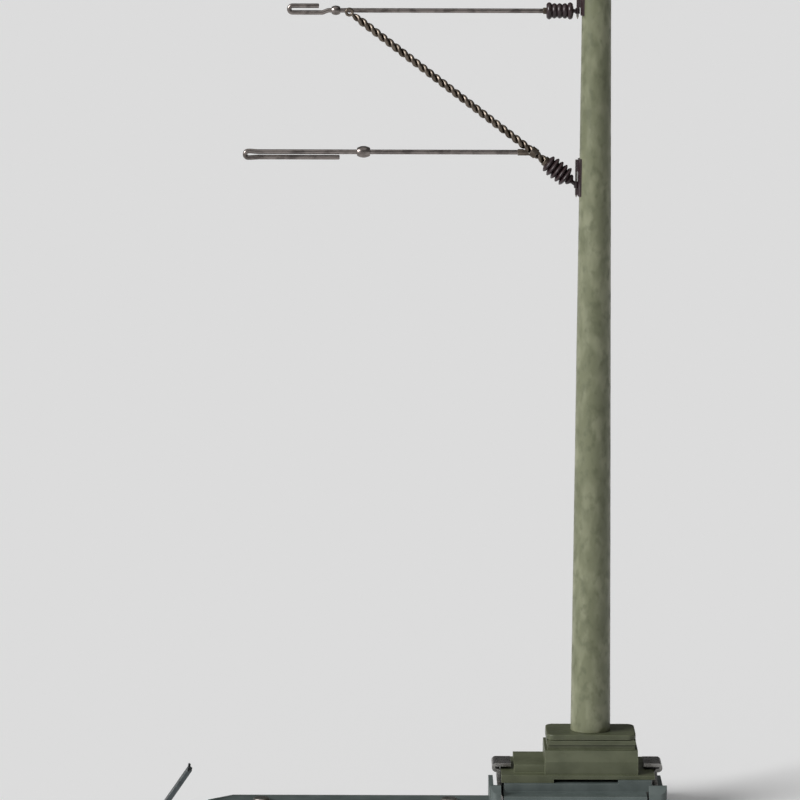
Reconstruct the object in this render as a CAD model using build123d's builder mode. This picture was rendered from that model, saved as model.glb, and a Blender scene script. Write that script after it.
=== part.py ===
"""Overhead-line mast for an H0 model railway, with its clip-on track base.

A tapered round mast stands on a stepped plastic foot. Two spring clips hold the foot's flange on a
moulded base, whose steel plate runs out under a tongue and ends in a hook for the track's edge. A
wire cantilever on two ribbed insulators swings about a vertical hinge at the mast's side: a straight
top rod and a lower registration arm, each with a hairpin for the line, and a twisted diagonal strut.

Millimetres. The origin is on the mast's axis at the level that the base stands on, +Z is up and -X
is the track side.
"""

import os
from math import radians, tan

from build123d import *

os.makedirs("parts", exist_ok=True)

# ---- Driving dimensions: clearances ----
SLIDE_GAP = 0.03  # foot on base, vertical
CLIP_GAP = 0.06  # flange end to clip leg
HINGE_GAP = 0.04  # hinge pin in its open bearing, radial and axial

# ---- Base moulding, measured along the base from its own centre ----
BASE_OFFSET = -1.43  # base centre, from the mast's axis
BASE_HALF = 9.28
BASE_HALF_DEPTH = 7.3
BASE_CORNER = 0.8
BASE_FLOOR = 1.3  # level of the clip channels' floor
LEDGE_LEVEL = 3.5
LEDGE_TRACK_HALF = 7.87
LEDGE_FAR_HALF = 7.18
TIER_HALF = 7.75
TIER_HALF_DEPTH = 5.0
BASE_TOP = 4.35
CHEEK_THICK = 0.48
CHEEK_TOP = 2.7
CHEEK_HALF_DEPTH = 6.3
POST_SPANS = ((-9.28, -8.17), (7.38, 9.28))  # front corner posts, along the base
POST_BACK = 6.2  # back of the posts, in front of the base's middle
POST_SLOPE_FOOT = 3.75
POST_SLOPE_RUN = 0.75
POST_TOP = 4.5
PAD_START = 2.8  # raised pad on the side away from the track, from the mast's axis
PAD_RISE = 0.37
ROOF_UNDER = 2.5
CAVITY_HALF = 6.6
CAVITY_HALF_DEPTH = 5.9

# ---- Tongue, bottom plate and track hook ----
TONGUE_END = -40.8
TONGUE_SLOPE_START = -38.1
TONGUE_TIP_LEVEL = 0.75
TONGUE_TOP = 1.3
TONGUE_WIDTH = 5.4
PLATE_THICK = 0.5
PLATE_HALF = 7.9
PLATE_HALF_DEPTH = 6.5
STRAP_WIDTH = 4.0
STRAP_SIDE_GAP = 0.05
PLATE_CORNER = 0.4
HOOK_WIDTH = 1.8
HOOK_NECK_X = -41.2  # where the strap narrows to the hook
HOOK_HEEL = -45.7
HOOK_TIP_LEVEL = 4.8
HOOK_LEAN = 55.5  # degrees from the horizontal, leaning back over the strap
HOOK_BEND = 0.55

# ---- Fasteners of the base ----
STRAP_RIVETS_X = (-35.0, -15.0)
STRAP_RIVET_R = 0.5
STRAP_RIVET_HEAD_R = 0.9
STRAP_RIVET_HEAD = 0.35
STRAP_RIVET_ROUND_SHARE = 0.7  # rounding of the head, as a share of its height
SCREW_R = 0.5
SCREW_HEAD_R = 0.9
SCREW_LENGTH = 2.1
SCREW_SLOT = 0.2
SCREW_HALF_X = 5.3
SCREW_HALF_Y = 4.6
BOSS_R = 1.15
CLIP_RIVET_R = 0.4
CLIP_RIVET_HEAD_R = 0.75
CLIP_RIVET_HEAD = 0.3
CLIP_RIVET_X = 5.9
CLIP_RIVET_HALF_Y = 1.0

# ---- Spring clips ----
CLIP_THICK = 0.35
CLIP_HALF_WIDTH = 1.75
EAR_HALF_WIDTH = 6.1
CLIP_LEG = 8.33  # middle of the leg's thickness, from the base centre
CLIP_CURL_SHARE = 1.55  # the curl's reach past the leg, in thicknesses
CLIP_TIP = 7.05
CLIP_TOP = 5.65
CLIP_RETURN_SHARE = 1.72  # the curl's height, in thicknesses
CLIP_SLANT_TOP = 4.2
CLIP_SLANT_FOOT = 3.0
CLIP_SHANK = 8.1
CLIP_FLANGE_TIP = 5.1
CURL_BEND_SHARE = 0.8  # bends, in thicknesses
LEG_BEND_SHARE = 0.58
SHANK_BEND_SHARE = 0.86

# ---- Foot of the mast ----
FLANGE_HALF_DEPTH = 4.6
FLANGE_THICK = 0.4
FLANGE_PAD_END = -4.0
BLOCK_HALF = 4.92
BLOCK_HALF_DEPTH = 4.2
BLOCK_FACE = 1.39  # height of the upright lower face
SHOULDER_RUN = 1.0
SHOULDER_RISE = 1.01
GROOVE_RISE = 0.55
STEP_RISE = 0.42
NOTCH_RISE = 0.1
CAP_THICK = 0.53
GROOVE_SIZE = (9.2, 5.4)
STEP_SIZE = (9.44, 5.8)
NOTCH_SIZE = (8.96, 5.3)
CAP_SIZE = (9.46, 5.7)
CAP_CORNER = 0.9
CAP_EDGE = 0.12
EXTENSION_END = -8.16
EXTENSION_HALF_DEPTH = 3.2
EXTENSION_RISE = 0.85
FOOT_CAVITY = (8.0, 5.5)
FOOT_CAVITY_CORNER = 1.0
FOOT_ROOF = 2.45  # thickness over the cavity

# ---- Mast ----
MAST_TOP = 100.0
MAST_FOOT_R = 2.12
MAST_TAPER = 0.0077  # radius lost for each millimetre of height
MAST_WALL = 0.45
MAST_CAP_HEIGHT = 0.8
MAST_CAP_PLUG = 2.5
MAST_CAP_ROUND_SHARE = 0.75  # rounding of the cap, as a share of its height
STUD_R = 1.0
STUD_HOLE_R = 1.1
STUD_PLUG = 8.0
STUD_TAIL = 0.25  # thread left below the nut
WASHER_R = 2.3
WASHER_THICK = 0.3
NUT_ACROSS_FLATS = 4.0
NUT_THICK = 1.6

# ---- Hinge of the cantilever ----
HINGE_OFFSET = 0.3  # hinge's axis from the mast's surface, at the strut's foot
HINGE_PIN_R = 0.12
BEARING_R = 0.27
BEARING_JAW = 0.1  # reach of the bearing's jaws past the pin's middle
EYE_R = 0.24
UPPER_EYE_HALF = 0.3
LOWER_EYE_HALF = 0.35
BEARING_TALL = 1.35
BEARING_SHORT = 0.65
BEARING_LIFT = 1.4  # upper bearing of the lower bracket, above the eye's middle
BEARING_UPPER = 1.2
SADDLE_THICK = 0.14
SADDLE_HALF_WIDTH = 0.85
SADDLE_MARGIN = 0.15
PEG_R = 0.35
PEG_LENGTH = 0.8
PIN_END = 0.05
PIN_POINT = 0.28
PIN_TAIL = 0.85

# ---- Cantilever ----
ROD_LEVEL = 85.45
STRUT_DROP = 18.15  # the strut's foot below the rod
ARM_DROP = 14.75  # the registration arm below the rod
ROD_R = 0.24
ARM_R = 0.25
STRUT_R = 0.435
STRUT_EYE_X = -25.7
STRUT_EYE_DROP = 0.15
STRUT_EYE_R = 0.47
STRUT_EYE_HOLE_R = 0.18
STRUT_EYE_THICK = 0.44
STRUT_NECK_R = 0.2
STRUT_NECK = 1.15
ROD_FLAT = 0.04
ROD_FLAT_SHARE = 2.6  # length of the flat, in radii of the strut's eye
ROD_BEAD_X = -27.1
ROD_BEAD_R = 0.5
ROD_BEAD_HALF = 0.45
ROD_STEP = 0.23
ROD_STEP_X = -27.9
ROD_STEP_RUN = 0.6
ROD_STEP_BEND = 0.5
ROD_TIP_X = -32.19
ROD_PRONG_GAP = 0.22
ROD_PRONG_END = -28.85
ARM_TIP_X = -36.82
ARM_LEG_PITCH = 0.57
ARM_LOOP_PITCH = 0.68
ARM_PINCH_X = -35.6
ARM_PINCH_RUN = 0.8
ARM_PINCH_BENDS = (1.0, 0.6)  # on the leg's side and on the loop's side
LOOP_RELIEF = 0.005  # taken off a hairpin's bend, so that its two arcs don't quite meet
ARM_LEG_END = -26.7
ARM_BEAD_X = -24.2
ARM_BEAD_R = 0.62
ARM_BEAD_HALF = 0.68
CRIMP_R = 0.54
CRIMP_LENGTH = 0.7
CRIMP_STUB_R = 0.34
CRIMP_STUB_START = 1.2
CRIMP_STUB_GRIP = 0.45

# ---- Insulators: distances along their axis from the hinge ----
UPPER_NECK_R = 0.2
UPPER_SHEDS_FROM = 0.5
UPPER_SHED_PITCH = 0.546
UPPER_SHED_RADII = (0.9, 0.8, 0.8, 0.8, 0.9)
LOWER_NECK_R = 0.22
LOWER_SHEDS_FROM = 0.65
LOWER_SHED_PITCH = 0.54
LOWER_SHED_RADII = (0.6, 1.08, 1.08, 1.08, 1.08, 0.95)
UPPER_ROOT_SHARE = 0.8  # radius between the sheds, as a share of theirs
LOWER_ROOT_SHARE = 0.62
SHED_CREST = 0.1
SHED_GAP = 0.12
FERRULE_SPIGOT_R = 0.3
FERRULE_SPIGOT = 0.8
FERRULE_CUP = 0.35
FERRULE_FLOOR = 0.1
FERRULE_WALL = 0.1

# ---- Sizes that follow ----
foot_bottom = BASE_TOP + SLIDE_GAP
pad_top = BASE_TOP + PAD_RISE
flange_bottom = pad_top + SLIDE_GAP
flange_top = flange_bottom + FLANGE_THICK
face_top = flange_top + BLOCK_FACE
shoulder_top = face_top + SHOULDER_RISE
groove_top = shoulder_top + GROOVE_RISE
step_top = groove_top + STEP_RISE
notch_top = step_top + NOTCH_RISE
foot_top = notch_top + CAP_THICK
flange_half = CLIP_LEG - CLIP_THICK / 2 - CLIP_GAP
foot_roof = foot_top - FOOT_ROOF
tube_top = MAST_TOP - MAST_CAP_HEIGHT
base_left = BASE_OFFSET - BASE_HALF
clip_flange_level = ROOF_UNDER - CLIP_THICK / 2
clip_curl = CLIP_LEG + CLIP_CURL_SHARE * CLIP_THICK
clip_return = CLIP_TOP - CLIP_RETURN_SHARE * CLIP_THICK
curl_bend = CURL_BEND_SHARE * CLIP_THICK
leg_bend = LEG_BEND_SHARE * CLIP_THICK
shank_bend = SHANK_BEND_SHARE * CLIP_THICK
strut_foot_level = ROD_LEVEL - STRUT_DROP
arm_level = ROD_LEVEL - ARM_DROP


def mast_radius(level):
    """Outside radius of the tapered mast at a level."""
    return MAST_FOOT_R - MAST_TAPER * (level - foot_top)


hinge_x = -(mast_radius(strut_foot_level) + HINGE_OFFSET)


def along(origin, direction):
    """Plane whose X runs along a direction in the upright plane, and whose Y points up from it."""
    return Plane(origin=origin, x_dir=direction, z_dir=Vector(*direction).cross(Vector(0, 0, 1)))


def finish(part, name):
    """Label a finished piece and write its STEP file."""
    part.label = name
    export_step(part, f"parts/{name}.step")
    print(name, round(part.volume, 2))


# ---- Base moulding ----
with BuildPart() as posts:
    for start, end in POST_SPANS:
        with BuildSketch(Plane.YZ.offset(BASE_OFFSET + start)):
            with BuildLine():
                Polyline(
                    (-BASE_HALF_DEPTH, 0),
                    (-BASE_HALF_DEPTH, POST_SLOPE_FOOT),
                    (-BASE_HALF_DEPTH + POST_SLOPE_RUN, POST_TOP),
                    (-POST_BACK, POST_TOP),
                    (-POST_BACK, 0),
                    close=True,
                )
            make_face()
        extrude(amount=end - start)
    with BuildSketch():
        with Locations((BASE_OFFSET, 0)):
            RectangleRounded(2 * BASE_HALF, 2 * BASE_HALF_DEPTH, BASE_CORNER)
    extrude(amount=POST_TOP, mode=Mode.INTERSECT)

with BuildPart() as base_housing:
    add(posts.part)
    with BuildSketch():
        with Locations((BASE_OFFSET, 0)):
            RectangleRounded(2 * BASE_HALF, 2 * BASE_HALF_DEPTH, BASE_CORNER)
    extrude(amount=BASE_FLOOR)
    with BuildSketch(Plane.XY.offset(BASE_FLOOR)):
        ledge_middle = BASE_OFFSET + (LEDGE_FAR_HALF - LEDGE_TRACK_HALF) / 2
        with Locations((ledge_middle, 0)):
            Rectangle(LEDGE_TRACK_HALF + LEDGE_FAR_HALF, 2 * BASE_HALF_DEPTH)
    extrude(amount=LEDGE_LEVEL - BASE_FLOOR)
    with BuildSketch(Plane.XY.offset(LEDGE_LEVEL)):
        with Locations((BASE_OFFSET, 0)):
            Rectangle(2 * TIER_HALF, 2 * TIER_HALF_DEPTH)
    extrude(amount=BASE_TOP - LEDGE_LEVEL)
    pad_end = BASE_OFFSET + TIER_HALF
    with BuildSketch(Plane.XY.offset(BASE_TOP)):
        with Locations(((PAD_START + pad_end) / 2, 0)):
            Rectangle(pad_end - PAD_START, 2 * TIER_HALF_DEPTH)
    extrude(amount=PAD_RISE)
    with BuildSketch(Plane.XY.offset(BASE_FLOOR)):
        for side in (-1, 1):
            with Locations((BASE_OFFSET + side * (BASE_HALF - CHEEK_THICK / 2), 0)):
                Rectangle(CHEEK_THICK, 2 * CHEEK_HALF_DEPTH)
    extrude(amount=CHEEK_TOP - BASE_FLOOR)
    # Tongue towards the track, with a sloping nose.
    with BuildSketch(Plane.XZ.offset(-TONGUE_WIDTH / 2)):
        with BuildLine():
            Polyline(
                (base_left + BASE_CORNER, 0),
                (TONGUE_END, 0),
                (TONGUE_END, TONGUE_TIP_LEVEL),
                (TONGUE_SLOPE_START, TONGUE_TOP),
                (base_left + BASE_CORNER, TONGUE_TOP),
                close=True,
            )
        make_face()
    extrude(amount=TONGUE_WIDTH)
    # Underside: the plate's recess, the strap's channel and the cavity under the roof.
    with BuildSketch():
        with Locations((BASE_OFFSET, 0)):
            Rectangle(2 * PLATE_HALF, 2 * PLATE_HALF_DEPTH)
        strap_run = BASE_OFFSET - TONGUE_END
        with Locations((BASE_OFFSET - strap_run / 2, 0)):
            Rectangle(strap_run, STRAP_WIDTH + 2 * STRAP_SIDE_GAP)
    extrude(amount=PLATE_THICK, mode=Mode.SUBTRACT)
    with BuildSketch(Plane.XY.offset(PLATE_THICK)):
        with Locations((BASE_OFFSET, 0)):
            Rectangle(2 * CAVITY_HALF, 2 * CAVITY_HALF_DEPTH)
            with GridLocations(2 * SCREW_HALF_X, 2 * SCREW_HALF_Y, 2, 2):
                Circle(BOSS_R, mode=Mode.SUBTRACT)
    extrude(amount=ROOF_UNDER - PLATE_THICK, mode=Mode.SUBTRACT)
    # Slots that let the clips' flanges in under the roof.
    with BuildSketch(Plane.XY.offset(ROOF_UNDER)):
        for side in (-1, 1):
            with Locations((BASE_OFFSET + side * (CAVITY_HALF + TIER_HALF) / 2, 0)):
                Rectangle(TIER_HALF - CAVITY_HALF + CLIP_THICK, 2 * (CLIP_HALF_WIDTH + CLIP_GAP))
    extrude(amount=BASE_FLOOR - ROOF_UNDER, mode=Mode.SUBTRACT)
    # Relief in the ledge's lower corner for the clips' bends.
    with BuildSketch(Plane.XY.offset(ROOF_UNDER)):
        relief = shank_bend + CLIP_GAP
        for side in (-1, 1):
            with Locations((BASE_OFFSET + side * (CLIP_SHANK - relief / 2), 0)):
                Rectangle(relief, 2 * (CLIP_HALF_WIDTH + CLIP_GAP))
    extrude(amount=shank_bend, mode=Mode.SUBTRACT)
    # Holes for the screws, the strap's rivets and the clips' rivets.
    with Locations((BASE_OFFSET, 0, PLATE_THICK)):
        with GridLocations(2 * SCREW_HALF_X, 2 * SCREW_HALF_Y, 2, 2):
            Cylinder(
                SCREW_R,
                SCREW_LENGTH - PLATE_THICK,
                align=(Align.CENTER, Align.CENTER, Align.MIN),
                mode=Mode.SUBTRACT,
            )
    with Locations([(x, 0, TONGUE_TOP) for x in STRAP_RIVETS_X]):
        Hole(STRAP_RIVET_R, depth=TONGUE_TOP)
    for side, roof in ((-1, BASE_TOP), (1, pad_top)):
        with Locations((BASE_OFFSET + side * CLIP_RIVET_X, 0, roof)):
            with GridLocations(1, 2 * CLIP_RIVET_HALF_Y, 1, 2):
                CounterSinkHole(CLIP_RIVET_R, CLIP_RIVET_HEAD_R, depth=roof - ROOF_UNDER)
finish(base_housing.part, "base_housing")

# ---- Bottom plate, strap and track hook, one steel pressing ----
plate_half = PLATE_HALF - STRAP_SIDE_GAP
plate_half_depth = PLATE_HALF_DEPTH - STRAP_SIDE_GAP
hook_rise = HOOK_TIP_LEVEL - PLATE_THICK / 2
hook_tip_x = HOOK_HEEL + hook_rise / tan(radians(HOOK_LEAN))
with BuildPart() as track_plate:
    with BuildSketch():
        with Locations((BASE_OFFSET, 0)):
            RectangleRounded(2 * plate_half, 2 * plate_half_depth, PLATE_CORNER)
    extrude(amount=PLATE_THICK)
    with BuildLine() as strap_path:
        FilletPolyline(
            (BASE_OFFSET, 0, PLATE_THICK / 2),
            (HOOK_HEEL, 0, PLATE_THICK / 2),
            (hook_tip_x, 0, HOOK_TIP_LEVEL),
            radius=HOOK_BEND,
        )
    with BuildSketch(Plane(origin=strap_path.line @ 0, x_dir=(0, 1, 0), z_dir=strap_path.line % 0)):
        Rectangle(STRAP_WIDTH, PLATE_THICK)
    sweep()
    # The hook is narrower than the strap.
    hook_trim = (STRAP_WIDTH - HOOK_WIDTH) / 2
    with Locations((HOOK_NECK_X, 0, 0)):
        with GridLocations(1, STRAP_WIDTH - hook_trim, 1, 2):
            Box(
                HOOK_NECK_X - HOOK_HEEL + PLATE_THICK,
                hook_trim,
                2 * HOOK_TIP_LEVEL,
                align=(Align.MAX, Align.CENTER, Align.CENTER),
                mode=Mode.SUBTRACT,
            )
    with Locations([(x, 0, 0) for x in STRAP_RIVETS_X]):
        with Locations(Rotation(180, 0, 0)):
            CounterSinkHole(STRAP_RIVET_R, STRAP_RIVET_HEAD_R, depth=PLATE_THICK)
    with Locations((BASE_OFFSET, 0, 0)):
        with GridLocations(2 * SCREW_HALF_X, 2 * SCREW_HALF_Y, 2, 2):
            with Locations(Rotation(180, 0, 0)):
                CounterSinkHole(SCREW_R, SCREW_HEAD_R, depth=PLATE_THICK)
finish(track_plate.part, "track_plate")


def countersunk(radius, head_radius):
    """Depth of a right-angled countersink from its rim to its shank."""
    return head_radius - radius


# ---- Fasteners of the base ----
with BuildPart() as strap_rivets:
    sink = countersunk(STRAP_RIVET_R, STRAP_RIVET_HEAD_R)
    with Locations([(x, 0, 0) for x in STRAP_RIVETS_X]):
        Cone(STRAP_RIVET_HEAD_R, STRAP_RIVET_R, sink, align=(Align.CENTER, Align.CENTER, Align.MIN))
        Cylinder(STRAP_RIVET_R, TONGUE_TOP, align=(Align.CENTER, Align.CENTER, Align.MIN))
    with Locations([(x, 0, TONGUE_TOP) for x in STRAP_RIVETS_X]):
        Cylinder(
            STRAP_RIVET_HEAD_R, STRAP_RIVET_HEAD, align=(Align.CENTER, Align.CENTER, Align.MIN)
        )
    rims = strap_rivets.faces().filter_by(Axis.Z).group_by(Axis.Z)[-1].edges()
    fillet(rims, STRAP_RIVET_HEAD * STRAP_RIVET_ROUND_SHARE)
finish(strap_rivets.part, "strap_rivets")

with BuildPart() as plate_screws:
    sink = countersunk(SCREW_R, SCREW_HEAD_R)
    with Locations((BASE_OFFSET, 0, 0)):
        with GridLocations(2 * SCREW_HALF_X, 2 * SCREW_HALF_Y, 2, 2):
            Cone(SCREW_HEAD_R, SCREW_R, sink, align=(Align.CENTER, Align.CENTER, Align.MIN))
            Cylinder(SCREW_R, SCREW_LENGTH, align=(Align.CENTER, Align.CENTER, Align.MIN))
            Box(
                2 * SCREW_HEAD_R,
                SCREW_SLOT,
                SCREW_SLOT,
                align=(Align.CENTER, Align.CENTER, Align.MIN),
                mode=Mode.SUBTRACT,
            )
finish(plate_screws.part, "plate_screws")

with BuildPart() as clip_rivets:
    sink = countersunk(CLIP_RIVET_R, CLIP_RIVET_HEAD_R)
    lower_face = ROOF_UNDER - CLIP_THICK
    for side, roof in ((-1, BASE_TOP), (1, pad_top)):
        with Locations((BASE_OFFSET + side * CLIP_RIVET_X, 0, 0)):
            with GridLocations(1, 2 * CLIP_RIVET_HALF_Y, 1, 2):
                with Locations((0, 0, lower_face - CLIP_RIVET_HEAD)):
                    Cylinder(
                        CLIP_RIVET_HEAD_R, CLIP_RIVET_HEAD, align=(Align.CENTER, Align.CENTER, Align.MIN)
                    )
                    Cylinder(
                        CLIP_RIVET_R,
                        roof - lower_face + CLIP_RIVET_HEAD,
                        align=(Align.CENTER, Align.CENTER, Align.MIN),
                    )
                with Locations((0, 0, roof - sink)):
                    Cone(
                        CLIP_RIVET_R, CLIP_RIVET_HEAD_R, sink, align=(Align.CENTER, Align.CENTER, Align.MIN)
                    )
finish(clip_rivets.part, "clip_rivets")


# ---- Spring clips ----
def spring_clip(side):
    """Bent strip on one end of the base: side is -1 towards the track and 1 away from it."""

    def at(out, level):
        return (BASE_OFFSET + side * out, 0, level)

    with BuildPart() as clip:
        with BuildLine() as strip:
            FilletPolyline(
                at(CLIP_TIP, CLIP_TOP),
                at(clip_curl, CLIP_TOP),
                at(clip_curl, clip_return),
                at(CLIP_LEG, clip_return),
                at(CLIP_LEG, CLIP_SLANT_TOP),
                at(CLIP_SHANK, CLIP_SLANT_FOOT),
                at(CLIP_SHANK, clip_flange_level),
                at(CLIP_FLANGE_TIP, clip_flange_level),
                radius=[curl_bend, curl_bend, leg_bend, shank_bend, shank_bend, shank_bend],
            )
        with BuildSketch(Plane(origin=strip.line @ 0, x_dir=(0, 1, 0), z_dir=strip.line % 0)):
            Rectangle(2 * CLIP_HALF_WIDTH, CLIP_THICK)
        sweep()
        # The slanted stretch spreads into two ears that show in the open ends of the channel.
        with BuildLine() as slant:
            FilletPolyline(
                at(CLIP_LEG, CLIP_SLANT_TOP - CLIP_THICK),
                at(CLIP_LEG, CLIP_SLANT_TOP - 2 * CLIP_THICK),
                at(CLIP_SHANK, CLIP_SLANT_FOOT),
                at(CLIP_SHANK, clip_flange_level + shank_bend),
                radius=shank_bend,
            )
        with BuildSketch(Plane(origin=slant.line @ 0, x_dir=(0, 1, 0), z_dir=slant.line % 0)):
            Rectangle(2 * EAR_HALF_WIDTH, CLIP_THICK)
        sweep()
        with Locations(at(CLIP_RIVET_X, ROOF_UNDER)):
            with GridLocations(1, 2 * CLIP_RIVET_HALF_Y, 1, 2):
                Hole(CLIP_RIVET_R, depth=CLIP_THICK)
    return clip.part


finish(spring_clip(-1), "left_spring_clip")
finish(spring_clip(1), "right_spring_clip")

# ---- Foot of the mast ----
with BuildPart() as mast_foot:
    with BuildSketch(Plane.XY.offset(flange_bottom)):
        with Locations((BASE_OFFSET, 0)):
            Rectangle(2 * flange_half, 2 * FLANGE_HALF_DEPTH)
    extrude(amount=FLANGE_THICK)
    # The flange's track end sits lower, on the base's plain top.
    pad_length = FLANGE_PAD_END - (BASE_OFFSET - flange_half)
    with BuildSketch(Plane.XY.offset(foot_bottom)):
        with Locations((FLANGE_PAD_END - pad_length / 2, 0)):
            Rectangle(pad_length, 2 * FLANGE_HALF_DEPTH)
    extrude(amount=flange_bottom - foot_bottom)
    # Block with shoulders that slope in at the front and the back.
    shoulder_depth = BLOCK_HALF_DEPTH - SHOULDER_RUN
    with BuildSketch(Plane.YZ.offset(-BLOCK_HALF)):
        with BuildLine():
            Polyline(
                (-BLOCK_HALF_DEPTH, flange_top),
                (BLOCK_HALF_DEPTH, flange_top),
                (BLOCK_HALF_DEPTH, face_top),
                (shoulder_depth, shoulder_top),
                (-shoulder_depth, shoulder_top),
                (-BLOCK_HALF_DEPTH, face_top),
                close=True,
            )
        make_face()
    extrude(amount=2 * BLOCK_HALF)
    level = shoulder_top
    tiers = ((GROOVE_SIZE, GROOVE_RISE), (STEP_SIZE, STEP_RISE), (NOTCH_SIZE, NOTCH_RISE))
    for (width, depth), rise in tiers:
        with BuildSketch(Plane.XY.offset(level)):
            Rectangle(width, depth)
        extrude(amount=rise)
        level += rise
    with BuildSketch(Plane.XY.offset(notch_top)):
        RectangleRounded(*CAP_SIZE, CAP_CORNER)
    extrude(amount=CAP_THICK)
    fillet(mast_foot.faces().sort_by(Axis.Z)[-1].edges(), CAP_EDGE)
    # Low extension towards the track.
    extension_length = -BLOCK_HALF - EXTENSION_END
    with BuildSketch(Plane.XY.offset(flange_top)):
        with Locations((EXTENSION_END + extension_length / 2, 0)):
            Rectangle(extension_length, 2 * EXTENSION_HALF_DEPTH)
    extrude(amount=EXTENSION_RISE)
    # Hollow underside with room for the nut, and the stud's hole.
    with BuildSketch(Plane.XY.offset(foot_bottom)):
        RectangleRounded(*FOOT_CAVITY, FOOT_CAVITY_CORNER)
    extrude(amount=foot_roof - foot_bottom, mode=Mode.SUBTRACT)
    with Locations((0, 0, foot_top)):
        Hole(STUD_HOLE_R, depth=FOOT_ROOF)
finish(mast_foot.part, "mast_foot")


# ---- Mast ----
def taper(low, high, inset, mode=Mode.ADD):
    """Stretch of the mast's cone between two levels, drawn in by an inset."""
    with Locations((0, 0, low)):
        Cone(
            mast_radius(low) - inset,
            mast_radius(high) - inset,
            high - low,
            align=(Align.CENTER, Align.CENTER, Align.MIN),
            mode=mode,
        )


upper_bracket_low = ROD_LEVEL - UPPER_EYE_HALF - SADDLE_MARGIN
upper_bearing_low = ROD_LEVEL + UPPER_EYE_HALF + HINGE_GAP
upper_bracket_high = upper_bearing_low + BEARING_TALL + SADDLE_MARGIN
short_bearing_high = strut_foot_level - LOWER_EYE_HALF - HINGE_GAP
short_bearing_low = short_bearing_high - BEARING_SHORT
tall_bearing_low = strut_foot_level + BEARING_LIFT
tall_bearing_high = tall_bearing_low + BEARING_UPPER
upper_peg_level = (upper_bearing_low + upper_bracket_high) / 2
lower_peg_level = (strut_foot_level + LOWER_EYE_HALF + tall_bearing_low) / 2

with BuildPart() as mast_tube:
    taper(foot_top, tube_top, 0)
    taper(foot_top, tube_top, MAST_WALL, mode=Mode.SUBTRACT)
    for peg_level in (upper_peg_level, lower_peg_level):
        with Locations(Location((-MAST_FOOT_R, 0, peg_level), (0, 90, 0))):
            Cylinder(
                PEG_R,
                MAST_FOOT_R,
                align=(Align.CENTER, Align.CENTER, Align.MIN),
                mode=Mode.SUBTRACT,
            )
finish(mast_tube.part, "mast_tube")

with BuildPart() as mast_cap:
    taper(tube_top - MAST_CAP_PLUG, tube_top, MAST_WALL)
    taper(tube_top, MAST_TOP, 0)
    fillet(mast_cap.faces().sort_by(Axis.Z)[-1].edges(), MAST_CAP_HEIGHT * MAST_CAP_ROUND_SHARE)
finish(mast_cap.part, "mast_cap")

# The stud is pressed into the mast's lower end and passes down through the foot.
washer_top = foot_roof
nut_top = washer_top - WASHER_THICK
nut_bottom = nut_top - NUT_THICK
with BuildPart() as mast_stud:
    taper(foot_top, foot_top + STUD_PLUG, MAST_WALL)
    with Locations((0, 0, nut_bottom - STUD_TAIL)):
        Cylinder(
            STUD_R,
            foot_top - nut_bottom + STUD_TAIL,
            align=(Align.CENTER, Align.CENTER, Align.MIN),
        )
finish(mast_stud.part, "mast_stud")

with BuildPart() as stud_washer:
    with BuildSketch(Plane.XY.offset(nut_top)):
        Circle(WASHER_R)
        Circle(STUD_HOLE_R, mode=Mode.SUBTRACT)
    extrude(amount=WASHER_THICK)
finish(stud_washer.part, "stud_washer")

with BuildPart() as stud_nut:
    with BuildSketch(Plane.XY.offset(nut_bottom)):
        RegularPolygon(NUT_ACROSS_FLATS / 2, 6, major_radius=False)
        Circle(STUD_R, mode=Mode.SUBTRACT)
    extrude(amount=NUT_THICK)
finish(stud_nut.part, "stud_nut")


# ---- Brackets on the mast, with open snap-in bearings for the hinge pins ----
def bracket(low, high, bearings, peg_level, eye_level, eye_half):
    """Saddle against the mast with a peg in its wall and a bearing at each pair of levels."""
    with BuildPart() as piece:
        with BuildSketch(Plane.XY.offset(low)):
            Circle(mast_radius(low) + SADDLE_THICK)
            with Locations((-MAST_FOOT_R, 0)):
                Rectangle(2 * MAST_FOOT_R, 2 * SADDLE_HALF_WIDTH, mode=Mode.INTERSECT)
        extrude(amount=high - low)
        for bearing_low, bearing_high in bearings:
            with BuildSketch(Plane.XY.offset(bearing_low)):
                with Locations((hinge_x, 0)):
                    Circle(BEARING_R)
                    Rectangle(-hinge_x, 2 * BEARING_R, align=(Align.MIN, Align.CENTER))
                with Locations((hinge_x - BEARING_JAW, 0)):
                    Rectangle(
                        BEARING_JAW - hinge_x,
                        2 * BEARING_R,
                        align=(Align.MIN, Align.CENTER),
                        mode=Mode.INTERSECT,
                    )
            extrude(amount=bearing_high - bearing_low)
        taper(low, high, 0, mode=Mode.SUBTRACT)
        # The pin's bore runs the whole height, and the insulator's eye has its own clearance.
        with Locations((hinge_x, 0, (low + high) / 2)):
            Cylinder(HINGE_PIN_R + HINGE_GAP, high - low, mode=Mode.SUBTRACT)
        with Locations((hinge_x, 0, eye_level)):
            Cylinder(EYE_R + HINGE_GAP, 2 * (eye_half + HINGE_GAP), mode=Mode.SUBTRACT)
        peg_start = -mast_radius(peg_level) - SADDLE_THICK / 3
        with Locations(Location((peg_start, 0, peg_level), (0, 90, 0))):
            Cylinder(PEG_R, PEG_LENGTH, align=(Align.CENTER, Align.CENTER, Align.MIN))
    return piece.part


finish(
    bracket(
        upper_bracket_low,
        upper_bracket_high,
        ((upper_bearing_low, upper_bearing_low + BEARING_TALL),),
        upper_peg_level,
        ROD_LEVEL,
        UPPER_EYE_HALF,
    ),
    "upper_bracket",
)
finish(
    bracket(
        short_bearing_low - SADDLE_MARGIN,
        tall_bearing_high + SADDLE_MARGIN,
        ((short_bearing_low, short_bearing_high), (tall_bearing_low, tall_bearing_high)),
        lower_peg_level,
        strut_foot_level,
        LOWER_EYE_HALF,
    ),
    "lower_bracket",
)


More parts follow.
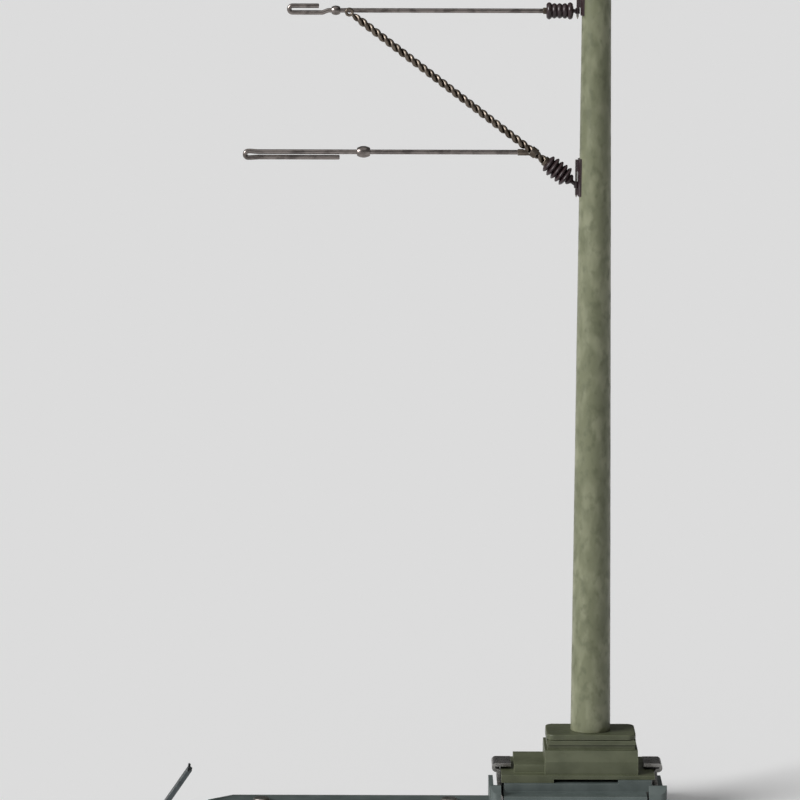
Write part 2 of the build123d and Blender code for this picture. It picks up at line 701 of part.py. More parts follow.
# ---- Hinge pins ----
def hinge_pin(low, high):
    """Upright pin on the hinge's axis, pointed at its lower end."""
    with BuildPart() as pin:
        with Locations((hinge_x, 0, low)):
            Cone(PIN_END, HINGE_PIN_R, PIN_POINT, align=(Align.CENTER, Align.CENTER, Align.MIN))
        with Locations((hinge_x, 0, low + PIN_POINT)):
            Cylinder(
                HINGE_PIN_R,
                high - low - PIN_POINT,
                align=(Align.CENTER, Align.CENTER, Align.MIN),
            )
    return pin.part


finish(
    hinge_pin(ROD_LEVEL - PIN_TAIL, upper_bearing_low + BEARING_TALL + PIN_END),
    "upper_hinge_pin",
)
finish(
    hinge_pin(short_bearing_low - PIN_POINT, tall_bearing_high + PIN_END),
    "lower_hinge_pin",
)

# ---- Directions of the cantilever's two members, from the hinge outwards ----
strut_eye_y = -(ROD_R - ROD_FLAT) - STRUT_EYE_THICK / 2
rod_origin = Vector(hinge_x, 0, ROD_LEVEL)
rod_direction = Vector(-1, 0, 0)
strut_origin = Vector(hinge_x, 0, strut_foot_level)
strut_eye = Vector(STRUT_EYE_X, strut_eye_y, ROD_LEVEL - STRUT_EYE_DROP)
strut_length = (strut_eye - strut_origin).length
strut_direction = (strut_eye - strut_origin).normalized()
rod_plane = along(rod_origin, rod_direction)
strut_plane = along(strut_origin, strut_direction)


# ---- Insulators ----
def insulator(plane, eye_half, neck_r, sheds_from, pitch, shed_radii, root_share):
    """Ribbed insulator on an axis, with an upright eye on the hinge and a socket in its far end."""
    sheds_end = sheds_from + pitch * len(shed_radii)
    with BuildPart() as piece:
        with BuildSketch(plane):
            with BuildLine():
                outline = [(0, 0), (0, neck_r), (sheds_from, neck_r)]
                for number, shed_r in enumerate(shed_radii):
                    start = sheds_from + number * pitch
                    root = shed_r * root_share
                    middle = start + (pitch - SHED_GAP) / 2
                    outline += [
                        (start, root),
                        (middle - SHED_CREST / 2, shed_r),
                        (middle + SHED_CREST / 2, shed_r),
                        (start + pitch - SHED_GAP, root),
                    ]
                outline += [(sheds_end, outline[-1][1]), (sheds_end, 0)]
                Polyline(*outline, close=True)
            make_face()
        revolve(axis=Axis(plane.origin, plane.x_dir))
        with Locations(plane.origin):
            Cylinder(EYE_R, 2 * eye_half)
            Cylinder(HINGE_PIN_R, 4 * eye_half, mode=Mode.SUBTRACT)
        with BuildSketch(Plane(origin=plane.origin + plane.x_dir * sheds_end, z_dir=plane.x_dir)):
            Circle(FERRULE_SPIGOT_R)
        extrude(amount=-FERRULE_SPIGOT, mode=Mode.SUBTRACT)
    return piece.part


upper_sheds_end = UPPER_SHEDS_FROM + UPPER_SHED_PITCH * len(UPPER_SHED_RADII)
lower_sheds_end = LOWER_SHEDS_FROM + LOWER_SHED_PITCH * len(LOWER_SHED_RADII)
finish(
    insulator(
        rod_plane,
        UPPER_EYE_HALF,
        UPPER_NECK_R,
        UPPER_SHEDS_FROM,
        UPPER_SHED_PITCH,
        UPPER_SHED_RADII,
        UPPER_ROOT_SHARE,
    ),
    "upper_insulator",
)
finish(
    insulator(
        strut_plane,
        LOWER_EYE_HALF,
        LOWER_NECK_R,
        LOWER_SHEDS_FROM,
        LOWER_SHED_PITCH,
        LOWER_SHED_RADII,
        LOWER_ROOT_SHARE,
    ),
    "lower_insulator",
)


# ---- Ferrules between the insulators and the wires ----
def ferrule(plane, sheds_end, wire_r):
    """Cup that grips a wire, with a spigot in the insulator's socket."""
    cup_r = wire_r + FERRULE_WALL
    cup_floor = sheds_end + FERRULE_FLOOR
    cup_end = sheds_end + FERRULE_CUP
    with BuildPart() as piece:
        with BuildSketch(plane):
            with BuildLine():
                Polyline(
                    (sheds_end - FERRULE_SPIGOT, 0),
                    (sheds_end - FERRULE_SPIGOT, FERRULE_SPIGOT_R),
                    (sheds_end, FERRULE_SPIGOT_R),
                    (sheds_end, cup_r),
                    (cup_end, cup_r),
                    (cup_end, wire_r),
                    (cup_floor, wire_r),
                    (cup_floor, 0),
                    close=True,
                )
            make_face()
        revolve(axis=Axis(plane.origin, plane.x_dir))
    return piece.part


finish(ferrule(rod_plane, upper_sheds_end, ROD_R), "rod_ferrule")
finish(ferrule(strut_plane, lower_sheds_end, STRUT_R), "strut_ferrule")


# ---- Wires ----
def wire(points, radii, wire_r):
    """Round wire along straight runs joined by arcs."""
    with BuildPart() as piece:
        with BuildLine() as path:
            FilletPolyline(*points, radius=radii)
        with BuildSketch(Plane(origin=path.line @ 0, z_dir=path.line % 0)):
            Circle(wire_r)
        sweep()
    return piece.part


rod_start = hinge_x - upper_sheds_end - FERRULE_FLOOR
prong_pitch = 2 * ROD_R + ROD_PRONG_GAP
low_prong = ROD_LEVEL - ROD_STEP
high_prong = low_prong + prong_pitch
rod_loop_r = prong_pitch / 2 - LOOP_RELIEF
rod_turn_x = ROD_TIP_X + ROD_R
rod_wire = wire(
    [
        (rod_start, 0, ROD_LEVEL),
        (ROD_STEP_X, 0, ROD_LEVEL),
        (ROD_STEP_X - ROD_STEP_RUN, 0, low_prong),
        (rod_turn_x, 0, low_prong),
        (rod_turn_x, 0, high_prong),
        (ROD_PRONG_END, 0, high_prong),
    ],
    [ROD_STEP_BEND, ROD_STEP_BEND, rod_loop_r, rod_loop_r],
    ROD_R,
)
with BuildPart() as top_rod:
    add(rod_wire)
    # A short flat on the front seats the strut's soldered eye.
    with Locations((STRUT_EYE_X, -(ROD_R - ROD_FLAT), ROD_LEVEL)):
        Box(
            ROD_FLAT_SHARE * STRUT_EYE_R,
            ROD_R,
            2 * ROD_R,
            align=(Align.CENTER, Align.MAX, Align.CENTER),
            mode=Mode.SUBTRACT,
        )
finish(top_rod.part, "top_rod")


def bead(middle, level, y, bead_r, half, bore_r):
    """Barrel-shaped bead squeezed on a level wire."""
    with BuildPart() as piece:
        plane = Plane(origin=(middle, y, level), x_dir=(1, 0, 0), z_dir=(0, -1, 0))
        end_r = (bead_r + bore_r) / 2
        with BuildSketch(plane):
            with BuildLine():
                Polyline((half, end_r), (half, bore_r), (-half, bore_r), (-half, end_r))
                ThreePointArc((-half, end_r), (0, bead_r), (half, end_r))
            make_face()
        revolve(axis=Axis((middle, y, level), (1, 0, 0)))
    return piece.part


finish(bead(ROD_BEAD_X, ROD_LEVEL, 0, ROD_BEAD_R, ROD_BEAD_HALF, ROD_R), "rod_bead")

# The strut's twisted pair is drawn as one round bar of its outside size, with a soldered eye.
strut_start = lower_sheds_end + FERRULE_FLOOR
strut_end = strut_length - STRUT_NECK
with BuildPart() as diagonal_strut:
    start_plane = Plane(origin=strut_origin + strut_direction * strut_start, z_dir=strut_direction)
    with BuildSketch(start_plane):
        Circle(STRUT_R)
    extrude(amount=strut_end - strut_start)
    end_plane = Plane(origin=strut_origin + strut_direction * strut_end, z_dir=strut_direction)
    with BuildSketch(end_plane):
        Circle(STRUT_NECK_R)
    extrude(amount=STRUT_NECK - STRUT_EYE_HOLE_R)
    with BuildSketch(Plane(origin=strut_eye + Vector(0, STRUT_EYE_THICK / 2, 0), z_dir=(0, -1, 0))):
        Circle(STRUT_EYE_R)
    extrude(amount=STRUT_EYE_THICK)
    with BuildSketch(Plane(origin=strut_eye + Vector(0, STRUT_EYE_THICK, 0), z_dir=(0, -1, 0))):
        Circle(STRUT_EYE_HOLE_R)
    extrude(amount=2 * STRUT_EYE_THICK, mode=Mode.SUBTRACT)
finish(diagonal_strut.part, "diagonal_strut")

# ---- Registration arm, its crimp on the strut and its bead ----
crimp_share = (arm_level - strut_foot_level) / (strut_eye.Z - strut_origin.Z)
crimp_middle = strut_origin + (strut_eye - strut_origin) * crimp_share
arm_y = crimp_middle.Y
arm_start = crimp_middle.X - CRIMP_STUB_START
with BuildPart() as arm_crimp:
    with BuildSketch(
        Plane(origin=crimp_middle - strut_direction * CRIMP_LENGTH / 2, z_dir=strut_direction)
    ):
        Circle(CRIMP_R)
    extrude(amount=CRIMP_LENGTH)
    with BuildSketch(Plane(origin=crimp_middle, x_dir=(0, 1, 0), z_dir=(-1, 0, 0))):
        Circle(CRIMP_STUB_R)
    extrude(amount=CRIMP_STUB_START + CRIMP_STUB_GRIP)
    with BuildSketch(
        Plane(origin=crimp_middle - strut_direction * CRIMP_LENGTH, z_dir=strut_direction)
    ):
        Circle(STRUT_R)
    extrude(amount=CRIMP_LENGTH + 2 * CRIMP_STUB_START + CRIMP_STUB_GRIP, mode=Mode.SUBTRACT)
    with BuildSketch(Plane(origin=(arm_start, arm_y, arm_level), x_dir=(0, 1, 0), z_dir=(-1, 0, 0))):
        Circle(ARM_R)
    extrude(amount=CRIMP_STUB_GRIP, mode=Mode.SUBTRACT)
finish(arm_crimp.part, "arm_crimp")

arm_turn_x = ARM_TIP_X + ARM_R
low_leg = arm_level - ARM_LEG_PITCH
loop_spread = (ARM_LOOP_PITCH - ARM_LEG_PITCH) / 2
loop_r = ARM_LOOP_PITCH / 2 - LOOP_RELIEF
leg_side, loop_side = ARM_PINCH_BENDS
pinch_start = ARM_PINCH_X + ARM_PINCH_RUN / 2
pinch_end = ARM_PINCH_X - ARM_PINCH_RUN / 2
finish(
    wire(
        [
            (arm_start, arm_y, arm_level),
            (pinch_start, arm_y, arm_level),
            (pinch_end, arm_y, arm_level + loop_spread),
            (arm_turn_x, arm_y, arm_level + loop_spread),
            (arm_turn_x, arm_y, low_leg - loop_spread),
            (pinch_end, arm_y, low_leg - loop_spread),
            (pinch_start, arm_y, low_leg),
            (ARM_LEG_END, arm_y, low_leg),
        ],
        [leg_side, loop_side, loop_r, loop_r, loop_side, leg_side],
        ARM_R,
    ),
    "registration_arm",
)
finish(bead(ARM_BEAD_X, arm_level, arm_y, ARM_BEAD_R, ARM_BEAD_HALF, ARM_R), "arm_bead")
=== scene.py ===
"""Overhead-line mast for an H0 model railway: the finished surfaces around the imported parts.

Metres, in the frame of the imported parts: the mast stands on the origin, +Z is up, the track lies on
the -X side and the front looks along -Y.

Round pieces (mast, insulators, ferrules, pins, beads, wires) are surfaces worked out with numpy
from a profile and an axis, or from a section carried along a path. Moulded and pressed pieces are
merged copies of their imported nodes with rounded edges. Rivets, screws, stud, washer and nut are the
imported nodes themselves. Every piece has a procedural finish.
"""

from __future__ import annotations

import logging
from dataclasses import dataclass, field
from enum import Enum
from math import cos, pi, radians, sin

import bmesh
import bpy
import numpy as np
from mathutils import Matrix, Vector


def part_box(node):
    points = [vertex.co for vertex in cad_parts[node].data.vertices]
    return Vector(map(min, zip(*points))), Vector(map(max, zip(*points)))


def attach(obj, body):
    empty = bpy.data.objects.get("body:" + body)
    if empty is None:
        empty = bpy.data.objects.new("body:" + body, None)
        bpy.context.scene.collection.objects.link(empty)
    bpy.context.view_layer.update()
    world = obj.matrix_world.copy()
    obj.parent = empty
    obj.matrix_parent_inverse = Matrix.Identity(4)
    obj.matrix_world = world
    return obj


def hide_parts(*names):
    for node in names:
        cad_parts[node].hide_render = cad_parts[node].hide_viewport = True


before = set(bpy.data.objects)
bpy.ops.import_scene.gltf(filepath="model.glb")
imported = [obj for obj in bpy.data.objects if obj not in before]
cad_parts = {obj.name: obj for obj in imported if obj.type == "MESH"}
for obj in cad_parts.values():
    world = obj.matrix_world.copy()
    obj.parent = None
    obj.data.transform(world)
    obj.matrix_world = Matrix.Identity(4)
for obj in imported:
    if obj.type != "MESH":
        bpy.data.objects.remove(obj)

MM = 0.001
UP = np.array([0.0, 0.0, 1.0])
FRONT = np.array([0.0, -1.0, 0.0])
TRACKWARDS = np.array([-1.0, 0.0, 0.0])
SMOOTH_ANGLE = radians(38)
ROUNDED_ANGLE = radians(35)
FLAT_ANGLE = radians(1.5)
WELD_DISTANCE = 0.0005 * MM
CUT_SHARE = 0.45
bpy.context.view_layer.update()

Colour = tuple[float, float, float, float]
Triple = tuple[float, float, float]
Socket = bpy.types.NodeSocket
Mesh = bpy.types.Mesh

log = logging.getLogger("mast")


class Body(Enum):
    """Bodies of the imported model."""

    BASE = "base"
    MAST = "mast"
    CANTILEVER = "cantilever"


class Slot(Enum):
    """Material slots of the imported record."""

    BASE_PLASTIC = "base_plastic"
    FOOT_PLASTIC = "foot_plastic"
    MAST_PAINT = "mast_paint"
    SPRING_STEEL = "spring_steel"
    DARK_STEEL = "dark_steel"
    FASTENER_STEEL = "fastener_steel"
    WIRE_STEEL = "wire_steel"
    INSULATOR_PLASTIC = "insulator_plastic"


def linear(red: int, green: int, blue: int) -> Colour:
    """Scene colour of a display colour.

    Args:
        red: display red, 0 to 255.
        green: display green, 0 to 255.
        blue: display blue, 0 to 255.

    Returns:
        Linear red, green and blue, and an alpha of 1.
    """
    share = np.array([red, green, blue]) / 255
    low = share / 12.92
    high = ((share + 0.055) / 1.055) ** 2.4
    return (*np.where(share <= 0.04045, low, high).tolist(), 1.0)


# ---- Surfaces ----


def placed(name: str, data: bpy.types.ID) -> bpy.types.Object:
    """New object of the scene."""
    made = bpy.data.objects.new(name, data)
    bpy.context.scene.collection.objects.link(made)
    return made


def unit(vectors: np.ndarray) -> np.ndarray:
    """Vectors of length one along the last axis."""
    return vectors / np.linalg.norm(vectors, axis=-1, keepdims=True)


@dataclass(frozen=True)
class Extent:
    """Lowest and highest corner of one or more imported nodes."""

    low: np.ndarray
    high: np.ndarray

    @classmethod
    def of(cls, node: str) -> Extent:
        """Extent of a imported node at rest."""
        low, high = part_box(node)
        return cls(np.array(low), np.array(high))

    @property
    def middle(self) -> np.ndarray:
        """Centre of the extent."""
        return (self.low + self.high) / 2


@dataclass(frozen=True)
class Surface:
    """Closed surface on a grid: rows run along the piece and columns run round it."""

    points: np.ndarray
    loop: bool = False

    def mesh(self, name: str) -> Mesh:
        """Mesh of the surface, with faces outwards and a UV map of rows and columns.

        Each face joins grid point (row, column) to its neighbours, and the last column meets the
        first. A loop joins the last row to the first too; otherwise a pole closes each end. The sum
        over triangles of corner . (corner x corner) is six times the volume, and the faces are
        turned over if it is below 0.

        Args:
            name: name of the new mesh.

        Returns:
            The mesh.
        """
        rows, columns, _ = self.points.shape
        vertices = self.points.reshape(-1, 3)
        row, column = np.meshgrid(
            np.arange(rows if self.loop else rows - 1), np.arange(columns), indexing="ij"
        )
        corner_rows = np.stack([row, row, row + 1, row + 1], axis=-1)
        corner_columns = np.stack([column, column + 1, column + 1, column], axis=-1)
        quads = ((corner_rows % rows) * columns + corner_columns % columns).reshape(-1, 4)
        lengths = np.linalg.norm(np.diff(self.points.mean(axis=1), axis=0), axis=1)
        reach = np.concatenate([[0.0], np.cumsum(lengths), [lengths.sum()]]) / MM
        quad_uv = np.stack([reach[corner_rows], corner_columns / columns], axis=-1).reshape(-1, 2)
        faces = quads.tolist()
        uv = quad_uv
        if not self.loop:
            poles = np.stack([self.points[0].mean(axis=0), self.points[-1].mean(axis=0)])
            around = np.arange(columns)
            ahead = (around + 1) % columns
            first = np.stack([np.full(columns, len(vertices)), ahead, around], axis=-1)
            last_row = (rows - 1) * columns
            last = np.stack(
                [np.full(columns, len(vertices) + 1), last_row + around, last_row + ahead], axis=-1
            )
            vertices = np.concatenate([vertices, poles])
            faces += first.tolist() + last.tolist()
            ring = np.stack([around, around + 1, around], axis=-1) / columns
            cap_uv = np.stack([np.zeros_like(ring), ring], axis=-1).reshape(-1, 2)
            uv = np.concatenate([quad_uv, cap_uv, cap_uv + [reach[-1], 0.0]])
        triangles = [quads[:, [0, 1, 2]], quads[:, [0, 2, 3]]]
        if not self.loop:
            triangles += [first, last]
        corners = vertices[np.concatenate(triangles)]
        volume = (corners[:, 0] * np.cross(corners[:, 1], corners[:, 2])).sum()
        made = bpy.data.meshes.new(name)
        made.from_pydata(vertices.tolist(), [], faces)
        made.uv_layers.new(name="along_around").data.foreach_set("uv", uv.ravel().tolist())
        if volume < 0:
            made.flip_normals()
        return made


def turned(
    profile: np.ndarray, origin: np.ndarray, axis: np.ndarray, sides: int = 48, loop: bool = False
) -> Surface:
    """Surface of revolution.

    A profile point at distance s along the axis and radius r, turned by an angle a, lies at
    origin + s x axis + r x (cos a x across + sin a x over), with across and over square to it.

    Args:
        profile: rows of distance along the axis and radius.
        origin: point on the axis where the distance is zero.
        axis: direction of the axis.
        sides: columns round the axis.
        loop: whether the profile closes on itself, as the wall of a tube does.

    Returns:
        The surface.
    """
    axis = unit(np.asarray(axis, dtype=float))
    reference = UP if abs(axis @ FRONT) > 0.9 else FRONT
    across = unit(np.cross(axis, reference))
    over = np.cross(axis, across)
    angles = np.linspace(0, 2 * pi, sides, endpoint=False)
    ring = np.cos(angles)[:, None] * across + np.sin(angles)[:, None] * over
    spine = origin + profile[:, :1] * axis
    return Surface(spine[:, None, :] + profile[:, 1, None, None] * ring, loop)


def carried(path: np.ndarray, side: np.ndarray, radii: np.ndarray, sides: int = 20) -> Surface:
    """Round section carried along a path.

    At each path point the section lies in the plane square to the path: the point at angle a is
    path + radius x (cos a x side + sin a x (tangent x side)), where side is square to the tangent.

    Args:
        path: points of the path.
        side: a direction that leans out of the path, one for each point or one for all.
        radii: radius at each point.
        sides: columns round the section.

    Returns:
        The surface.
    """
    tangent = unit(np.gradient(path, axis=0))
    across = np.broadcast_to(side, path.shape)
    across = unit(across - (across * tangent).sum(axis=1, keepdims=True) * tangent)
    over = np.cross(tangent, across)
    angles = np.linspace(0, 2 * pi, sides, endpoint=False)
    ring = (
        np.cos(angles)[None, :, None] * across[:, None, :]
        + np.sin(angles)[None, :, None] * over[:, None, :]
    )
    return Surface(path[:, None, :] + radii[:, None, None] * ring)


def bent_path(
    corners: np.ndarray, radii: tuple[float, ...], points_per_bend: int = 14
) -> np.ndarray:
    """Straight runs joined by arcs.

    At a corner whose arms open by an angle w, the arc's centre lies on the bisector at
    radius / sin(w / 2), and the arc turns through a half turn less w.

    Args:
        corners: corner points, the two ends among them.
        radii: radius of the arc at each inner corner.
        points_per_bend: points on each arc.

    Returns:
        Points of the path.
    """
    runs = [corners[:1]]
    for before, corner, after, radius in zip(corners[:-2], corners[1:-1], corners[2:], radii):
        back = unit(before - corner)
        ahead = unit(after - corner)
        half_open = np.arccos(np.clip(back @ ahead, -1, 1)) / 2
        bisector = unit(back + ahead)
        centre = corner + bisector * radius / sin(half_open)
        turn = np.linspace(-1, 1, points_per_bend) * (pi / 2 - half_open)
        forward = unit(ahead - back)
        runs.append(
            centre + radius * (np.sin(turn)[:, None] * forward - np.cos(turn)[:, None] * bisector)
        )
    runs.append(corners[-1:])
    return np.concatenate(runs)


def softened_ends(
    path: np.ndarray, radius: float, chamfer: float = 0.35
) -> tuple[np.ndarray, np.ndarray]:
    """Path and radii of a wire whose cut ends are slightly rounded.

    At angle a the rounding is at edge x (1 - cos a) from the end, where the radius is
    radius - edge x (1 - sin a), with the edge as long as chamfer x radius.

    Args:
        path: points of the wire's centre line.
        radius: the wire's radius.
        chamfer: size of the rounding, as a share of the radius.

    Returns:
        The path with the added rings, and the radius at each of its points.
    """
    edge = chamfer * radius
    angle = np.linspace(0, pi / 2, 4)
    depth = (edge * (1 - np.cos(angle)))[:, None]
    rim = radius - edge * (1 - np.sin(angle))
    start = path[0] + unit(path[1] - path[0]) * depth
    end = path[-1] + unit(path[-2] - path[-1]) * depth
    inner = path[1:-1]
    full = np.full(len(inner), radius)
    return np.concatenate([start, inner, end[::-1]]), np.concatenate([rim, full, rim[::-1]])


def rounded(profile: np.ndarray, radius: float, loop: bool = False, steps: int = 5) -> np.ndarray:
    """Profile with each corner cut back and rounded.

    The corner is cut back by the radius, or by CUT_SHARE of its shorter side if that is less. A
    curve from cut a to cut b takes its place: (1 - t)^2 a + 2 t (1 - t) corner + t^2 b.

    Args:
        profile: corner points in order.
        radius: length that is cut back from each corner.
        loop: whether the profile closes on itself.
        steps: points on each rounding.

    Returns:
        The rounded profile.
    """
    before = np.roll(profile, 1, axis=0)
    after = np.roll(profile, -1, axis=0)
    to_before = before - profile
    to_after = after - profile
    sides = np.linalg.norm([to_before, to_after], axis=2)
    cut = np.minimum(CUT_SHARE * sides.min(axis=0), radius)[:, None]
    start = profile + unit(to_before) * cut
    end = profile + unit(to_after) * cut
    share = np.linspace(0, 1, steps)[None, :, None]
    curve = (
        (1 - share) ** 2 * start[:, None]
        + 2 * share * (1 - share) * profile[:, None]
        + share**2 * end[:, None]
    )
    if loop:
        return curve.reshape(-1, 2)
    return np.concatenate([profile[:1], curve[1:-1].reshape(-1, 2), profile[-1:]])


def eye_ring(
    centre: np.ndarray, axis: np.ndarray, half: float, hole: float, radius: float, edge: float
) -> Surface:
    """Ring with a round hole and rounded edges.

    Args:
        centre: middle of the ring.
        axis: direction of the hole.
        half: half of the ring's height along the axis.
        hole: radius of the hole.
        radius: outside radius.
        edge: size of the rounding.

    Returns:
        The surface.
    """
    profile = np.array([[-half, hole], [-half, radius], [half, radius], [half, hole]])
    return turned(rounded(profile, edge, loop=True), centre, axis, 40, loop=True)


# ---- Finishes ----


@dataclass(frozen=True)
class Ramp:
    """Change of a value from start to end while its source goes from low to high."""

    low: float
    high: float
    start: float = 0.0
    end: float = 1.0


def set_range(node: bpy.types.Node, ramp: Ramp) -> None:
    """Set the ends of a map range node by a ramp."""
    labels = ("From Min", "From Max", "To Min", "To Max")
    for label, value in zip(labels, (ramp.low, ramp.high, ramp.start, ramp.end)):
        node.inputs[label].default_value = value


class Recipe:
    """Node material under construction, with its main shader."""

    def __init__(self, name: str) -> None:
        """Start a material with an empty recipe."""
        self.material = bpy.data.materials.new(name)
        self.material.use_nodes = True
        self.tree = self.material.node_tree
        self.shader = self.tree.nodes["Principled BSDF"]
        self.place = self.tree.nodes.new("ShaderNodeTexCoord")

    def node(self, kind: str, **settings: object) -> bpy.types.Node:
        """New node of a kind, with its options set by name."""
        made = self.tree.nodes.new(kind)
        for name, value in settings.items():
            setattr(made, name, value)
        return made

    def link(self, source: Socket, target: Socket) -> None:
        """Link one socket to another."""
        self.tree.links.new(source, target)

    def noise(
        self,
        feature: float,
        detail: float = 3.0,
        stretch: Triple = (1.0, 1.0, 1.0),
        surface: bool = False,
    ) -> Socket:
        """Noise with features of a given size.

        Args:
            feature: size of the features in metres, or in UV units on the surface.
            detail: octaves of finer noise.
            stretch: how much longer the features are along X, Y and Z.
            surface: whether the noise follows the piece's UV map.

        Returns:
            Socket of the noise, from 0 to 1.
        """
        mapping = self.node("ShaderNodeMapping")
        mapping.inputs["Scale"].default_value = tuple(1 / share for share in stretch)
        noise = self.node("ShaderNodeTexNoise")
        noise.inputs["Scale"].default_value = 1 / feature
        noise.inputs["Detail"].default_value = detail
        self.link(self.place.outputs["UV" if surface else "Object"], mapping.inputs["Vector"])
        self.link(mapping.outputs["Vector"], noise.inputs["Vector"])
        return noise.outputs["Fac"]

    def spread(self, source: Socket, ramp: Ramp) -> Socket:
        """Value that follows the source by a ramp, smoothly."""
        ranged = self.node("ShaderNodeMapRange", interpolation_type="SMOOTHSTEP")
        set_range(ranged, ramp)
        self.link(source, ranged.inputs["Value"])
        return ranged.outputs["Result"]

    def tint(
        self,
        share: Socket,
        under: Socket | Colour,
        over: Colour,
    ) -> Socket:
        """Colour that goes from one to another by a share.

        Args:
            share: socket that goes from 0 to 1.
            under: colour, or socket of the colour, at 0.
            over: colour at 1.

        Returns:
            Socket of the mixed colour.
        """
        mix = self.node("ShaderNodeMix", data_type="RGBA")
        colours = [socket for socket in mix.inputs if socket.type == "RGBA"]
        self.link(share, mix.inputs["Factor"])
        if isinstance(under, tuple):
            colours[0].default_value = under
        else:
            self.link(under, colours[0])
        colours[1].default_value = over
        return next(socket for socket in mix.outputs if socket.type == "RGBA")

    def edges(self, reach: float, low: float, high: float) -> Socket:
        """Share of wear, which is 1 on sharp outer edges and corners.

        The normal rounded over the reach turns away from the true normal near an edge: the share
        grows as the cosine between the two falls.

        Args:
            reach: distance from the edge that counts, in metres.
            low: loss of cosine at which the wear starts.
            high: loss of cosine at which it is full.

        Returns:
            Socket of the share.
        """
        bevel = self.node("ShaderNodeBevel", samples=4)
        bevel.inputs["Radius"].default_value = reach
        geometry = self.node("ShaderNodeNewGeometry")
        cosine = self.node("ShaderNodeVectorMath", operation="DOT_PRODUCT")
        self.link(bevel.outputs["Normal"], cosine.inputs[0])
        self.link(geometry.outputs["True Normal"], cosine.inputs[1])
        return self.spread(cosine.outputs["Value"], Ramp(1 - high, 1 - low, 1.0, 0.0))

    def relief(self, *heights: tuple[Socket, float]) -> None:
        """Bump the shader's normal by heights laid over each other.

        Args:
            *heights: socket of each height, from 0 to 1, and its depth in metres.
        """
        below = None
        for source, depth in heights:
            bump = self.node("ShaderNodeBump")
            bump.inputs["Strength"].default_value = 1.0
            bump.inputs["Distance"].default_value = depth
            self.link(source, bump.inputs["Height"])
            if below is not None:
                self.link(below, bump.inputs["Normal"])
            below = bump.outputs["Normal"]
        self.link(below, self.shader.inputs["Normal"])

    def finish(self, colour: Socket, roughness: Socket) -> None:
        """Link the colour and the roughness to the shader."""
        self.link(colour, self.shader.inputs["Base Color"])
        self.link(roughness, self.shader.inputs["Roughness"])


@dataclass(frozen=True)
class MottledPaint:
    """Satin paint on a metal tube, unevenly wetted, with darker and paler patches."""

    name: str = "mast_paint"
    slot: Slot = Slot.MAST_PAINT
    body: Colour = linear(108, 111, 87)
    pale: Colour = linear(132, 134, 110)
    dark: Colour = linear(82, 86, 63)
    bare: Colour = linear(130, 130, 118)
    patch: float = 1.5 * MM
    fleck: float = 0.8 * MM
    cloud: float = 9 * MM
    grain: float = 0.09 * MM
    patch_tone: Ramp = Ramp(0.42, 0.68, end=0.8)
    fleck_tone: Ramp = Ramp(0.45, 0.75, end=0.6)
    cloud_tone: Ramp = Ramp(0.4, 0.75, end=0.35)
    gloss: Ramp = Ramp(0.3, 0.7, 0.3, 0.46)

    def material(self) -> bpy.types.Material:
        """Paint whose colour and gloss follow patches, flecks and a fine grain."""
        recipe = Recipe(self.name)
        patches = recipe.noise(self.patch, 2.0, (1.0, 1.0, 2.2))
        flecks = recipe.noise(self.fleck, 2.0, (1.0, 1.0, 1.5))
        clouds = recipe.noise(self.cloud, 2.0)
        grain = recipe.noise(self.grain, 1.0)
        colour = recipe.tint(recipe.spread(patches, self.patch_tone), self.body, self.pale)
        colour = recipe.tint(recipe.spread(flecks, self.fleck_tone), colour, self.dark)
        colour = recipe.tint(recipe.spread(clouds, self.cloud_tone), colour, self.dark)
        colour = recipe.tint(recipe.edges(0.08 * MM, 0.1, 0.35), colour, self.bare)
        recipe.finish(colour, recipe.spread(flecks, self.gloss))
        recipe.relief((patches, 0.05 * MM), (flecks, 0.02 * MM), (grain, 0.002 * MM))
        recipe.shader.inputs["Specular IOR Level"].default_value = 0.45
        return recipe.material


@dataclass(frozen=True)
class MouldedPlastic:
    """Moulded plastic with a fine texture, slow changes of tone and edges rubbed paler."""

    name: str
    slot: Slot
    body: Colour
    shade: Colour
    rubbed: Colour
    rough: float = 0.5
    gloss: float = 0.5
    texture: float = 0.12 * MM
    depth: float = 0.006 * MM
    edge: float = 0.12 * MM

    def material(self) -> bpy.types.Material:
        """Plastic whose tone drifts, with a stippled surface and rubbed edges."""
        recipe = Recipe(self.name)
        drift = recipe.noise(2.5 * MM, 3.0)
        smudge = recipe.noise(0.8 * MM, 2.0)
        stipple = recipe.noise(self.texture, 1.0)
        colour = recipe.tint(recipe.spread(drift, Ramp(0.35, 0.7)), self.body, self.shade)
        wear = recipe.edges(self.edge, 0.06, 0.3)
        colour = recipe.tint(wear, colour, self.rubbed)
        rough = recipe.spread(smudge, Ramp(0.3, 0.7, self.rough - 0.08, self.rough + 0.1))
        recipe.finish(colour, rough)
        recipe.relief((smudge, 2 * self.depth), (stipple, self.depth))
        recipe.shader.inputs["Specular IOR Level"].default_value = self.gloss
        return recipe.material


